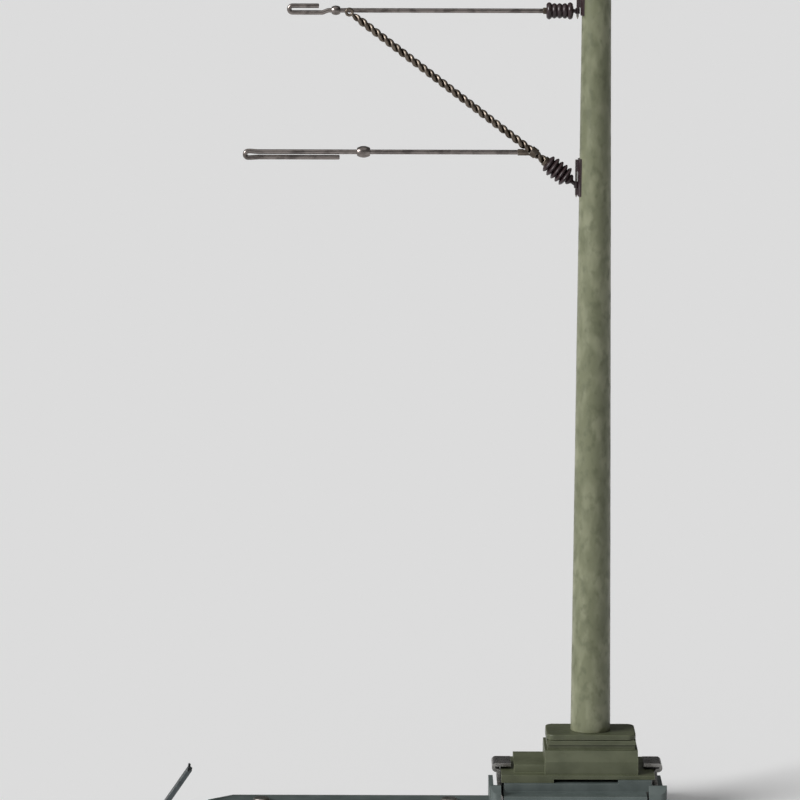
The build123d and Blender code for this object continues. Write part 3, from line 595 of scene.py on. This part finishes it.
@dataclass(frozen=True)
class Metal:
    """Metal with streaks along its working direction, tarnish in patches and bright edges."""

    name: str
    slot: Slot
    body: Colour
    tarnish: Colour
    bright: Colour
    rough: float = 0.3
    metallic: float = 1.0
    streak: Triple = (1.0, 1.0, 1.0)
    follow_wire: bool = False
    tarnish_share: float = 0.7

    def material(self) -> bpy.types.Material:
        """Metal whose streaks lie along X, Y or Z, or along the wire on its UV map."""
        recipe = Recipe(self.name)
        patches = recipe.noise(1.1 * MM, 3.0)
        if self.follow_wire:
            streaks = recipe.noise(0.12, 2.0, (18.0, 1.0, 1.0), surface=True)
        else:
            streaks = recipe.noise(0.07 * MM, 2.0, self.streak)
        tarnish = recipe.spread(patches, Ramp(0.4, 0.7, end=self.tarnish_share))
        colour = recipe.tint(tarnish, self.body, self.tarnish)
        colour = recipe.tint(recipe.edges(0.07 * MM, 0.06, 0.3), colour, self.bright)
        rough = recipe.spread(streaks, Ramp(0.3, 0.7, self.rough - 0.08, self.rough + 0.14))
        recipe.finish(colour, rough)
        recipe.relief((patches, 0.012 * MM), (streaks, 0.003 * MM))
        recipe.shader.inputs["Metallic"].default_value = self.metallic
        return recipe.material


Finish = MottledPaint | MouldedPlastic | Metal

MAST_PAINT = MottledPaint()
FOOT_PLASTIC = MouldedPlastic(
    name="olive_foot_plastic",
    slot=Slot.FOOT_PLASTIC,
    body=linear(82, 86, 65),
    shade=linear(70, 74, 54),
    rubbed=linear(120, 124, 100),
    rough=0.46,
)
BASE_PLASTIC = MouldedPlastic(
    name="grey_base_plastic",
    slot=Slot.BASE_PLASTIC,
    body=linear(85, 94, 92),
    shade=linear(73, 82, 80),
    rubbed=linear(108, 116, 113),
)
INSULATOR_PLASTIC = MouldedPlastic(
    name="dark_brown_plastic",
    slot=Slot.INSULATOR_PLASTIC,
    body=linear(50, 36, 38),
    shade=linear(38, 27, 30),
    rubbed=linear(84, 66, 72),
    rough=0.34,
    texture=0.08 * MM,
    depth=0.003 * MM,
    edge=0.06 * MM,
)
SPRING_STEEL = Metal(
    name="spring_steel",
    slot=Slot.SPRING_STEEL,
    body=linear(172, 170, 167),
    tarnish=linear(110, 105, 101),
    bright=linear(225, 224, 220),
    streak=(1.0, 12.0, 1.0),
)
DARK_STEEL = Metal(
    name="blackened_steel",
    slot=Slot.DARK_STEEL,
    body=linear(92, 98, 100),
    tarnish=linear(66, 70, 72),
    bright=linear(150, 154, 155),
    rough=0.42,
    streak=(12.0, 1.0, 1.0),
)
FASTENER_STEEL = Metal(
    name="fastener_steel",
    slot=Slot.FASTENER_STEEL,
    body=linear(168, 166, 160),
    tarnish=linear(120, 112, 100),
    bright=linear(228, 226, 220),
    rough=0.32,
)
WIRE_STEEL = Metal(
    name="drawn_wire",
    slot=Slot.WIRE_STEEL,
    body=linear(146, 138, 134),
    tarnish=linear(80, 74, 71),
    bright=linear(215, 204, 198),
    follow_wire=True,
)
STRUT_WIRE = Metal(
    name="twisted_wire",
    slot=Slot.WIRE_STEEL,
    body=linear(122, 112, 102),
    tarnish=linear(66, 58, 50),
    bright=linear(222, 216, 206),
    rough=0.34,
    follow_wire=True,
)


# ---- Workbench ----


@dataclass
class Workbench:
    """Turns meshes into finished pieces that ride on their bodies."""

    finishes: dict[str, bpy.types.Material] = field(default_factory=dict)

    def material(self, finish: Finish) -> bpy.types.Material:
        """Material of a finish, made once."""
        if finish.name not in self.finishes:
            self.finishes[finish.name] = finish.material()
        return self.finishes[finish.name]

    def add(
        self, name: str, mesh: Mesh, body: Body, finish: Finish, *nodes: str
    ) -> bpy.types.Object:
        """New piece at the origin.

        Args:
            name: name of the piece.
            mesh: its mesh, with its place in it.
            body: the body that it rides on.
            finish: its finish.
            *nodes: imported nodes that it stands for.

        Returns:
            The piece.
        """
        mesh.shade_smooth()
        mesh.set_sharp_from_angle(angle=SMOOTH_ANGLE)
        mesh.materials.append(self.material(finish))
        piece = placed(name, mesh)
        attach(piece, body.value)
        if nodes:
            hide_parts(*nodes)
        log.info("%s: %d faces on %s", name, len(mesh.polygons), body.value)
        return piece

    def dress(self, node: str, finish: Finish) -> None:
        """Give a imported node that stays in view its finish."""
        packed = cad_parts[node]
        material = self.material(finish)
        if not packed.material_slots:
            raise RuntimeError(f"{node} has no material slot")
        for slot in packed.material_slots:
            slot.material = material
        log.info("%s: packed node, %s", node, finish.name)

    def soften(
        self, node: str, body: Body, finish: Finish, edge: float, segments: int = 3
    ) -> bpy.types.Object:
        """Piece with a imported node's shape and rounded edges.

        Args:
            node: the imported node.
            body: the body that it rides on.
            finish: its finish.
            edge: width of the rounding.
            segments: faces across the rounding.

        Returns:
            The piece.
        """
        shape = bmesh.new()
        shape.from_mesh(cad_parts[node].data)
        bmesh.ops.remove_doubles(shape, verts=shape.verts[:], dist=WELD_DISTANCE)
        bmesh.ops.dissolve_limit(
            shape, angle_limit=FLAT_ANGLE, verts=shape.verts[:], edges=shape.edges[:]
        )
        mesh = bpy.data.meshes.new(node)
        shape.to_mesh(mesh)
        shape.free()
        piece = self.add(f"{node}_finished", mesh, body, finish, node)
        bevel = piece.modifiers.new("rounded_edges", "BEVEL")
        bevel.width = edge
        bevel.segments = segments
        bevel.limit_method = "ANGLE"
        bevel.angle_limit = ROUNDED_ANGLE
        bevel.harden_normals = True
        bevel.use_clamp_overlap = True
        return piece


# ---- Base and foot ----


@dataclass
class TrackBase:
    """Clip-on base: moulding, bottom plate with the track hook, spring clips and fasteners."""

    moulding_edge: float = 0.1 * MM
    plate_edge: float = 0.08 * MM
    clip_edge: float = 0.06 * MM

    def build(self, bench: Workbench) -> None:
        """Make and dress the base's pieces."""
        bench.soften("base_housing", Body.BASE, BASE_PLASTIC, self.moulding_edge)
        bench.soften("track_plate", Body.BASE, DARK_STEEL, self.plate_edge)
        for side in ("left", "right"):
            bench.soften(f"{side}_spring_clip", Body.BASE, SPRING_STEEL, self.clip_edge)
        for fastener in ("strap_rivets", "plate_screws", "clip_rivets"):
            bench.dress(fastener, FASTENER_STEEL)


@dataclass
class MastFoot:
    """Stepped foot moulding and the stud, washer and nut under its roof."""

    edge: float = 0.12 * MM

    def build(self, bench: Workbench) -> None:
        """Make and dress the foot's pieces."""
        bench.soften("mast_foot", Body.MAST, FOOT_PLASTIC, self.edge)
        for fastener in ("mast_stud", "stud_washer", "stud_nut"):
            bench.dress(fastener, FASTENER_STEEL)


# ---- Mast and brackets ----


@dataclass
class Mast:
    """Tapered painted tube with a domed cap."""

    taper: float = 0.0077
    wall: float = 0.45 * MM
    rows: int = 160
    sides: int = 96
    waviness: float = 0.012 * MM
    wave_lengths: tuple[float, float] = (2.1 * MM, 3.7 * MM)
    cap_rounding: float = 0.6 * MM
    cap_core: float = 0.1 * MM
    seam: float = 0.05 * MM

    def radius(self, level: np.ndarray | float) -> np.ndarray | float:
        """Outside radius at a level: the foot's radius less the taper times the rise."""
        tube = Extent.of("mast_tube")
        foot_radius = (tube.high[0] - tube.low[0]) / 2
        return foot_radius - self.taper * (level - tube.low[2])

    def tube(self) -> Mesh:
        """Tube wall with a slight unevenness of its painted outside.

        The outside radius is the taper's, less the waviness times (1 + wave) / 2, where wave is a
        product of two sines of the angle and the level. The inside is plain, and both ends close
        the wall.

        Returns:
            The mesh.
        """
        tube = Extent.of("mast_tube")
        low, high = tube.low[2], tube.high[2]
        levels = np.linspace(low + self.seam, high - self.seam, self.rows)
        outside = np.stack([levels, self.radius(levels)], axis=1)
        foot = np.array([[low, self.radius(low) - self.seam]])
        head = np.array([[high, self.radius(high) - self.seam]])
        inside = np.array(
            [[high, self.radius(high) - self.wall], [low, self.radius(low) - self.wall]]
        )
        profile = np.concatenate([foot, outside, head, inside])
        surface = turned(profile, np.zeros(3), UP, self.sides, loop=True)
        points = surface.points
        skin = points[1 : 1 + self.rows]
        angle = np.arctan2(skin[..., 1], skin[..., 0])
        first, second = self.wave_lengths
        wave = np.sin(3 * angle + skin[..., 2] / first) * np.sin(2 * angle - skin[..., 2] / second)
        shrink = 1 - self.waviness * (0.5 + 0.5 * wave) / self.radius(skin[..., 2])
        skin[..., :2] *= shrink[..., None]
        return surface.mesh("mast_tube")

    def cap(self) -> Mesh:
        """Plug with a rounded top, turned about the mast's axis."""
        whole = Extent.of("mast_cap")
        rim = Extent.of("mast_tube").high[2]
        low, high = whole.low[2], whole.high[2]
        profile = np.array(
            [
                [low, self.radius(low) - self.wall - self.seam],
                [rim, self.radius(rim) - self.wall - self.seam],
                [rim, self.radius(rim)],
                [high, self.radius(high)],
                [high, self.cap_core],
            ]
        )
        body = rounded(profile, self.seam)
        dome = rounded(profile[2:], self.cap_rounding, steps=12)
        neck = body[body[:, 0] < rim + self.seam / 2]
        whole_profile = np.concatenate([neck, dome[1:]])
        return turned(whole_profile, np.zeros(3), UP, self.sides).mesh("mast_cap")

    def build(self, bench: Workbench) -> None:
        """Make and dress the tube and its cap."""
        bench.add("painted_mast_tube", self.tube(), Body.MAST, MAST_PAINT, "mast_tube")
        bench.add("painted_mast_cap", self.cap(), Body.MAST, MAST_PAINT, "mast_cap")


@dataclass
class HingeBrackets:
    """Dark brackets pegged to the mast, with the open bearings of the hinge."""

    edge: float = 0.04 * MM

    def build(self, bench: Workbench) -> None:
        """Make and dress both brackets."""
        for level in ("upper", "lower"):
            bench.soften(f"{level}_bracket", Body.MAST, INSULATOR_PLASTIC, self.edge, 2)


# ---- Cantilever ----


@dataclass
class HingePin:
    """Upright steel pin, pointed below and rounded above."""

    level: str
    point: float = 0.28 * MM
    tip: float = 0.03 * MM
    edge: float = 0.06 * MM

    def build(self, bench: Workbench) -> None:
        """Turn the pin about the hinge's axis inside its packed extent."""
        node = f"{self.level}_hinge_pin"
        extent = Extent.of(node)
        radius = (extent.high[0] - extent.low[0]) / 2
        low, high = extent.low[2], extent.high[2]
        profile = np.array(
            [[low, self.tip], [low + self.point, radius], [high, radius], [high, self.tip]]
        )
        axis_foot = np.array([extent.middle[0], extent.middle[1], 0.0])
        surface = turned(rounded(profile, self.edge), axis_foot, UP, 32)
        bench.add(f"{node}_turned", surface.mesh(node), Body.CANTILEVER, FASTENER_STEEL, node)


@dataclass
class Insulator:
    """Ribbed insulator: an upright eye on the hinge pin, a neck and a row of sheds."""

    node: str
    origin: np.ndarray
    axis: np.ndarray
    neck: float
    start: float
    pitch: float
    sheds: tuple[float, ...]
    eye_half: float
    eye_radius: float = 0.24 * MM
    bore: float = 0.12 * MM
    eye_edge: float = 0.06 * MM
    neck_span: tuple[float, float] = (0.7, 0.8)
    root_share: float = 0.58
    socket: float = 0.3 * MM
    sharpness: float = 0.8

    @property
    def end(self) -> float:
        """Distance from the hinge to the last shed's far side."""
        return self.start + self.pitch * len(self.sheds)

    def sheds_profile(self, points: int = 15) -> np.ndarray:
        """Profile of the sheds.

        Over one pitch the radius is root + (crest - root) x (sin of the half turn) ^ sharpness, so
        the crests are round and the roots are narrow grooves.

        Args:
            points: points on each shed.

        Returns:
            Rows of distance along the axis and radius.
        """
        share = np.linspace(0, 1, points, endpoint=False)[None, :]
        crest = np.array(self.sheds)[:, None]
        root = crest * self.root_share
        radius = root + (crest - root) * np.sin(pi * share) ** self.sharpness
        number = np.arange(len(self.sheds))[:, None]
        along = self.start + (number + share) * self.pitch
        return np.stack([along.ravel(), radius.ravel()], axis=1)

    def build(self, bench: Workbench) -> None:
        """Join the eye's ring and the ribbed body in one mesh and dress it."""
        sheds = self.sheds_profile()
        ends = np.array(self.neck_span) * (self.eye_radius, self.start)
        fillet = np.stack([ends, np.full(2, self.neck)], axis=1)
        tail = np.array([[self.end, self.sheds[-1] * self.root_share], [self.end, self.socket]])
        body = turned(np.concatenate([fillet, sheds, tail]), self.origin, self.axis, 56)
        eye = eye_ring(
            self.origin, UP, self.eye_half, self.bore, self.eye_radius, self.eye_edge
        )
        mesh = joined(self.node, body.mesh("body"), eye.mesh("eye"))
        bench.add(f"ribbed_{self.node}", mesh, Body.CANTILEVER, INSULATOR_PLASTIC, self.node)


def joined(name: str, *meshes: Mesh) -> Mesh:
    """One mesh with the faces of several, which are removed.

    Args:
        name: name of the new mesh.
        *meshes: meshes to join.

    Returns:
        The joined mesh.
    """
    shape = bmesh.new()
    for mesh in meshes:
        shape.from_mesh(mesh)
    whole = bpy.data.meshes.new(name)
    shape.to_mesh(whole)
    shape.free()
    for mesh in meshes:
        bpy.data.meshes.remove(mesh)
    return whole


@dataclass
class Ferrule:
    """Pressed cup between an insulator and its wire."""

    node: str
    origin: np.ndarray
    axis: np.ndarray
    start: float
    wire: float
    length: float = 0.35 * MM
    wall: float = 0.1 * MM
    floor: float = 0.1 * MM
    spigot: float = 0.3 * MM
    spigot_length: float = 0.8 * MM
    core: float = 0.05 * MM
    edge: float = 0.05 * MM

    def build(self, bench: Workbench) -> None:
        """Turn the cup and its spigot about the wire's axis."""
        cup = self.wire + self.wall
        back = self.start - self.spigot_length
        inside = self.start + self.floor
        end = self.start + self.length
        along = [back, back, self.start, self.start, end, end, inside, inside]
        radii = [self.core, self.spigot, self.spigot, cup, cup, self.wire, self.wire, self.core]
        profile = np.array([along, radii]).T
        surface = turned(rounded(profile, self.edge), self.origin, self.axis, 40)
        name = f"pressed_{self.node}"
        bench.add(name, surface.mesh(self.node), Body.CANTILEVER, STRUT_WIRE, self.node)


@dataclass
class Bead:
    """Barrel-shaped bead squeezed on a level wire."""

    node: str
    wire: float
    barrel_share: float = 0.96
    mouth_share: float = 0.92

    def build(self, bench: Workbench) -> None:
        """Turn the bead about its wire: the radius bulges as a parabola between the ends."""
        extent = Extent.of(self.node)
        half = (extent.high[0] - extent.low[0]) / 2
        crest = (extent.high[2] - extent.low[2]) / 2
        rim = (crest + self.wire) / 2
        along = np.linspace(-1, 1, 15)
        bulge = rim + (crest - rim) * (1 - along**2)
        barrel = np.stack([along * half * self.barrel_share, bulge], axis=1)
        mouth = rim * self.mouth_share
        bore = np.array([[half, mouth], [half, self.wire], [-half, self.wire], [-half, mouth]])
        profile = np.concatenate([barrel, bore])
        surface = turned(profile, extent.middle, -TRACKWARDS, 40, loop=True)
        name = f"squeezed_{self.node}"
        bench.add(name, surface.mesh(self.node), Body.CANTILEVER, WIRE_STEEL, self.node)


@dataclass
class Cantilever:
    """Swinging arm: top rod, twisted strut and registration arm on two ribbed insulators."""

    rod: float = 0.24 * MM
    rod_step_x: float = -27.9 * MM
    rod_step_run: float = 0.6 * MM
    rod_step: float = 0.23 * MM
    prong_gap: float = 0.22 * MM
    prong_end: float = -28.85 * MM
    rod_bend: float = 0.5 * MM
    arm: float = 0.25 * MM
    leg_pitch: float = 0.57 * MM
    loop_pitch: float = 0.68 * MM
    pinch_x: float = -35.6 * MM
    pinch_run: float = 0.8 * MM
    leg_end: float = -26.7 * MM
    leg_bend: float = 1.0 * MM
    loop_bend: float = 0.6 * MM
    strut: float = 0.435 * MM
    strut_foot: float = 67.3 * MM
    strut_eye: Triple = (-25.7 * MM, -0.42 * MM, 85.3 * MM)
    twist: float = 1.75 * MM
    neck: float = 1.15 * MM
    neck_closing: float = 0.5
    neck_thinning: float = 0.3
    strand_rings: int = 420
    eye_radius: float = 0.47 * MM
    eye_hole: float = 0.18 * MM
    eye_half: float = 0.22 * MM
    eye_edge: float = 0.13 * MM
    eye_entry: float = 0.7
    ferrule_floor: float = 0.1 * MM
    turn_relief: float = 0.005 * MM

    @property
    def hinge(self) -> np.ndarray:
        """Point of the hinge's axis at the ground."""
        return Extent.of("lower_hinge_pin").middle * (1, 1, 0)

    @property
    def rod_level(self) -> float:
        """Level of the top rod."""
        return float(Extent.of("rod_ferrule").middle[2])

    def insulators(self) -> tuple[Insulator, Insulator]:
        """The upper insulator, along the rod, and the lower one, along the strut."""
        rod_origin = self.hinge + UP * self.rod_level
        strut_origin = self.hinge + UP * self.strut_foot
        upper = Insulator(
            "upper_insulator",
            rod_origin,
            TRACKWARDS,
            neck=0.2 * MM,
            start=0.5 * MM,
            pitch=0.546 * MM,
            sheds=tuple(np.array([0.9, 0.8, 0.8, 0.8, 0.9]) * MM),
            eye_half=0.3 * MM,
            root_share=0.78,
        )
        lower = Insulator(
            "lower_insulator",
            strut_origin,
            unit(np.array(self.strut_eye) - strut_origin),
            neck=0.22 * MM,
            start=0.65 * MM,
            pitch=0.54 * MM,
            sheds=tuple(np.array([0.6, 1.08, 1.08, 1.08, 1.08, 0.95]) * MM),
            eye_half=0.35 * MM,
        )
        return upper, lower

    def wire(
        self, corners: list[tuple[float, float]], y: float, bends: tuple[float, ...], radius: float
    ) -> Surface:
        """Round wire bent in the upright plane at y.

        Args:
            corners: distance along X and level of each corner.
            y: place of the wire's plane.
            bends: radius of the bend at each inner corner.
            radius: the wire's radius.

        Returns:
            The surface.
        """
        flat = np.array(corners)
        path = bent_path(np.stack([flat[:, 0], np.full(len(flat), y), flat[:, 1]], axis=1), bends)
        path, radii = softened_ends(path, radius)
        return carried(path, FRONT, radii)

    def top_rod(self, start: float) -> Surface:
        """Top rod, stepped down to a hairpin whose upper prong is cut short."""
        level = self.rod_level
        low = level - self.rod_step
        pitch = 2 * self.rod + self.prong_gap
        turn_x = Extent.of("top_rod").low[0] + self.rod
        loop = pitch / 2 - self.turn_relief
        corners = [
            (start, level),
            (self.rod_step_x, level),
            (self.rod_step_x - self.rod_step_run, low),
            (turn_x, low),
            (turn_x, low + pitch),
            (self.prong_end, low + pitch),
        ]
        return self.wire(corners, 0.0, (self.rod_bend, self.rod_bend, loop, loop), self.rod)

    def registration_arm(self) -> Surface:
        """Registration arm, doubled back below itself, with a pinched loop at its end."""
        extent = Extent.of("registration_arm")
        y = extent.middle[1]
        spread = (self.loop_pitch - self.leg_pitch) / 2
        high = extent.high[2] - spread - self.arm
        low = high - self.leg_pitch
        turn_x = extent.low[0] + self.arm
        pinch_start = self.pinch_x + self.pinch_run / 2
        pinch_end = self.pinch_x - self.pinch_run / 2
        loop = self.loop_pitch / 2 - self.turn_relief
        corners = [
            (extent.high[0], high),
            (pinch_start, high),
            (pinch_end, high + spread),
            (turn_x, high + spread),
            (turn_x, low - spread),
            (pinch_end, low - spread),
            (pinch_start, low),
            (self.leg_end, low),
        ]
        bends = (self.leg_bend, self.loop_bend, loop, loop, self.loop_bend, self.leg_bend)
        return self.wire(corners, y, bends, self.arm)

    def strand(
        self, origin: np.ndarray, axis: np.ndarray, start: float, end: float, phase: float
    ) -> Surface:
        """One strand of the twisted pair.

        At distance s along the axis the strand's middle stands off by offset x (cos w x across +
        sin w x over), with w = phase + 2 pi s / twist. Over the neck the offset and the strand's
        radius shrink by a smooth step, so that the pair closes up before the eye.

        Args:
            origin: foot of the strut's axis.
            axis: direction of the strut.
            start: distance of the strand's first point.
            end: distance of its last point.
            phase: angle of the strand at distance zero.

        Returns:
            The surface.
        """
        across = unit(np.cross(axis, FRONT))
        over = np.cross(axis, across)
        distance = np.linspace(start, end, self.strand_rings)
        closing = np.clip((distance - (end - self.neck)) / self.neck, 0, 1)
        step = closing**2 * (3 - 2 * closing)
        offset = self.strut / 2 * (1 - self.neck_closing * step)
        radii = self.strut / 2 * (1 - self.neck_thinning * step)
        angle = phase + 2 * pi * distance / self.twist
        out = np.cos(angle)[:, None] * across + np.sin(angle)[:, None] * over
        path = origin + distance[:, None] * axis + offset[:, None] * out
        return carried(path, out, radii, 16)

    def twisted_strut(self, start: float) -> Mesh:
        """Twisted pair from the lower ferrule to its soldered eye."""
        origin = self.hinge + UP * self.strut_foot
        reach = np.array(self.strut_eye) - origin
        axis = unit(reach)
        end = float(np.linalg.norm(reach)) - self.eye_entry * self.eye_radius
        strands = [
            self.strand(origin, axis, start, end, phase).mesh(f"strand{number}")
            for number, phase in enumerate((0.0, pi))
        ]
        centre = np.array(self.strut_eye)
        eye = eye_ring(
            centre, -FRONT, self.eye_half, self.eye_hole, self.eye_radius, self.eye_edge
        )
        return joined("diagonal_strut", *strands, eye.mesh("strut_eye"))

    def build(self, bench: Workbench) -> None:
        """Make and dress everything that swings."""
        for level in ("upper", "lower"):
            HingePin(level).build(bench)
        upper, lower = self.insulators()
        upper.build(bench)
        lower.build(bench)
        Ferrule("rod_ferrule", upper.origin, upper.axis, upper.end, self.rod).build(bench)
        Ferrule("strut_ferrule", lower.origin, lower.axis, lower.end, self.strut).build(bench)
        swings = Body.CANTILEVER
        rod = self.top_rod(self.hinge[0] - upper.end - self.ferrule_floor)
        bench.add("bent_top_rod", rod.mesh("top_rod"), swings, WIRE_STEEL, "top_rod")
        arm = self.registration_arm()
        name = "bent_registration_arm"
        bench.add(name, arm.mesh("registration_arm"), swings, WIRE_STEEL, "registration_arm")
        strut = self.twisted_strut(lower.end + self.ferrule_floor)
        bench.add("twisted_strut", strut, swings, STRUT_WIRE, "diagonal_strut")
        Bead("rod_bead", self.rod).build(bench)
        Bead("arm_bead", self.arm).build(bench)
        bench.soften("arm_crimp", swings, STRUT_WIRE, 0.05 * MM, 2)


# ---- Studio ----


@dataclass(frozen=True)
class Sun:
    """Soft distant light.

    The heading turns from the front towards the right, and the height is above the horizon.
    """

    name: str
    strength: float
    angle: float
    heading: float
    height: float

    @property
    def towards(self) -> Vector:
        """Direction from the object to the light."""
        level = cos(self.height)
        return Vector((sin(self.heading) * level, -cos(self.heading) * level, sin(self.height)))

    def shine(self) -> None:
        """Put the light in the scene."""
        lamp = placed(self.name, bpy.data.lights.new(self.name, "SUN"))
        lamp.data.energy = self.strength
        lamp.data.angle = self.angle
        lamp.rotation_euler = self.towards.to_track_quat("Z", "Y").to_euler()


@dataclass
class Studio:
    """Pale floor, soft light from the front left and the camera."""

    floor_half: float = 6.0
    floor_level: float = -0.02 * MM
    floor_tone: float = 0.95
    key: Sun = Sun("key", 3.1, radians(28), radians(-60), radians(27))
    overhead: Sun = Sun("overhead", 0.4, radians(60), radians(-20), radians(75))
    sky: Ramp = Ramp(-0.6, 1.0, 0.03, 0.3)
    distance: float = 500 * MM
    pitch: float = radians(8.5)
    roll: float = radians(0.15)
    target: Triple = (-20.33 * MM, 0.0, 44.5 * MM)
    frame_half: float = 42.1 * MM
    sensor: float = 36.0

    def floor(self) -> None:
        """Plain pale floor, flat and level."""
        half = self.floor_half
        mesh = bpy.data.meshes.new("floor")
        corners = [(-half, -half), (half, -half), (half, half), (-half, half)]
        mesh.from_pydata([(x, y, self.floor_level) for x, y in corners], [], [(0, 1, 2, 3)])
        paper = Recipe("floor_paper")
        paper.shader.inputs["Base Color"].default_value = (self.floor_tone,) * 3 + (1.0,)
        paper.shader.inputs["Roughness"].default_value = 0.9
        paper.shader.inputs["Specular IOR Level"].default_value = 0.0
        mesh.materials.append(paper.material)
        floor = placed("floor", mesh)

    def light(self) -> None:
        """Soft key from the front left, overhead light and a sky brighter on the key's side."""
        self.key.shine()
        self.overhead.shine()
        world = bpy.data.worlds.new("studio")
        bpy.context.scene.world = world
        world.use_nodes = True
        nodes = world.node_tree.nodes
        links = world.node_tree.links
        place = nodes.new("ShaderNodeTexCoord")
        facing = nodes.new("ShaderNodeVectorMath")
        facing.operation = "DOT_PRODUCT"
        facing.inputs[1].default_value = self.key.towards
        level = nodes.new("ShaderNodeMapRange")
        set_range(level, self.sky)
        links.new(place.outputs["Generated"], facing.inputs[0])
        links.new(facing.outputs["Value"], level.inputs["Value"])
        links.new(level.outputs["Result"], nodes["Background"].inputs["Strength"])
        nodes["Background"].inputs["Color"].default_value = (1.0, 1.0, 1.0, 1.0)

    def camera(self) -> None:
        """Camera in front, a little above, that looks down at the middle of the picture."""
        camera = placed("camera", bpy.data.cameras.new("camera"))
        camera.data.sensor_width = self.sensor
        camera.data.lens = self.sensor / 2 * self.distance / self.frame_half
        camera.data.clip_start = 0.01
        camera.data.clip_end = 50.0
        aim = Vector(self.target)
        back = Vector((0.0, -cos(self.pitch), sin(self.pitch)))
        place = Matrix.Translation(aim + back * self.distance)
        turn = (-back).to_track_quat("-Z", "Y").to_matrix().to_4x4()
        camera.matrix_world = place @ turn @ Matrix.Rotation(self.roll, 4, "Z")
        bpy.context.scene.camera = camera

    def build(self) -> None:
        """Set up the floor, the lights and the camera."""
        self.floor()
        self.light()
        self.camera()
        bpy.context.scene.view_settings.view_transform = "Standard"


def main() -> None:
    """Build every sub-assembly in order, then the studio."""
    logging.basicConfig(level=logging.INFO, format="%(name)s: %(message)s")
    bench = Workbench()
    for assembly in (TrackBase(), MastFoot(), Mast(), HingeBrackets(), Cantilever()):
        log.info("%s", type(assembly).__name__)
        assembly.build(bench)
    Studio().build()


if __name__ == "__main__":
    main()
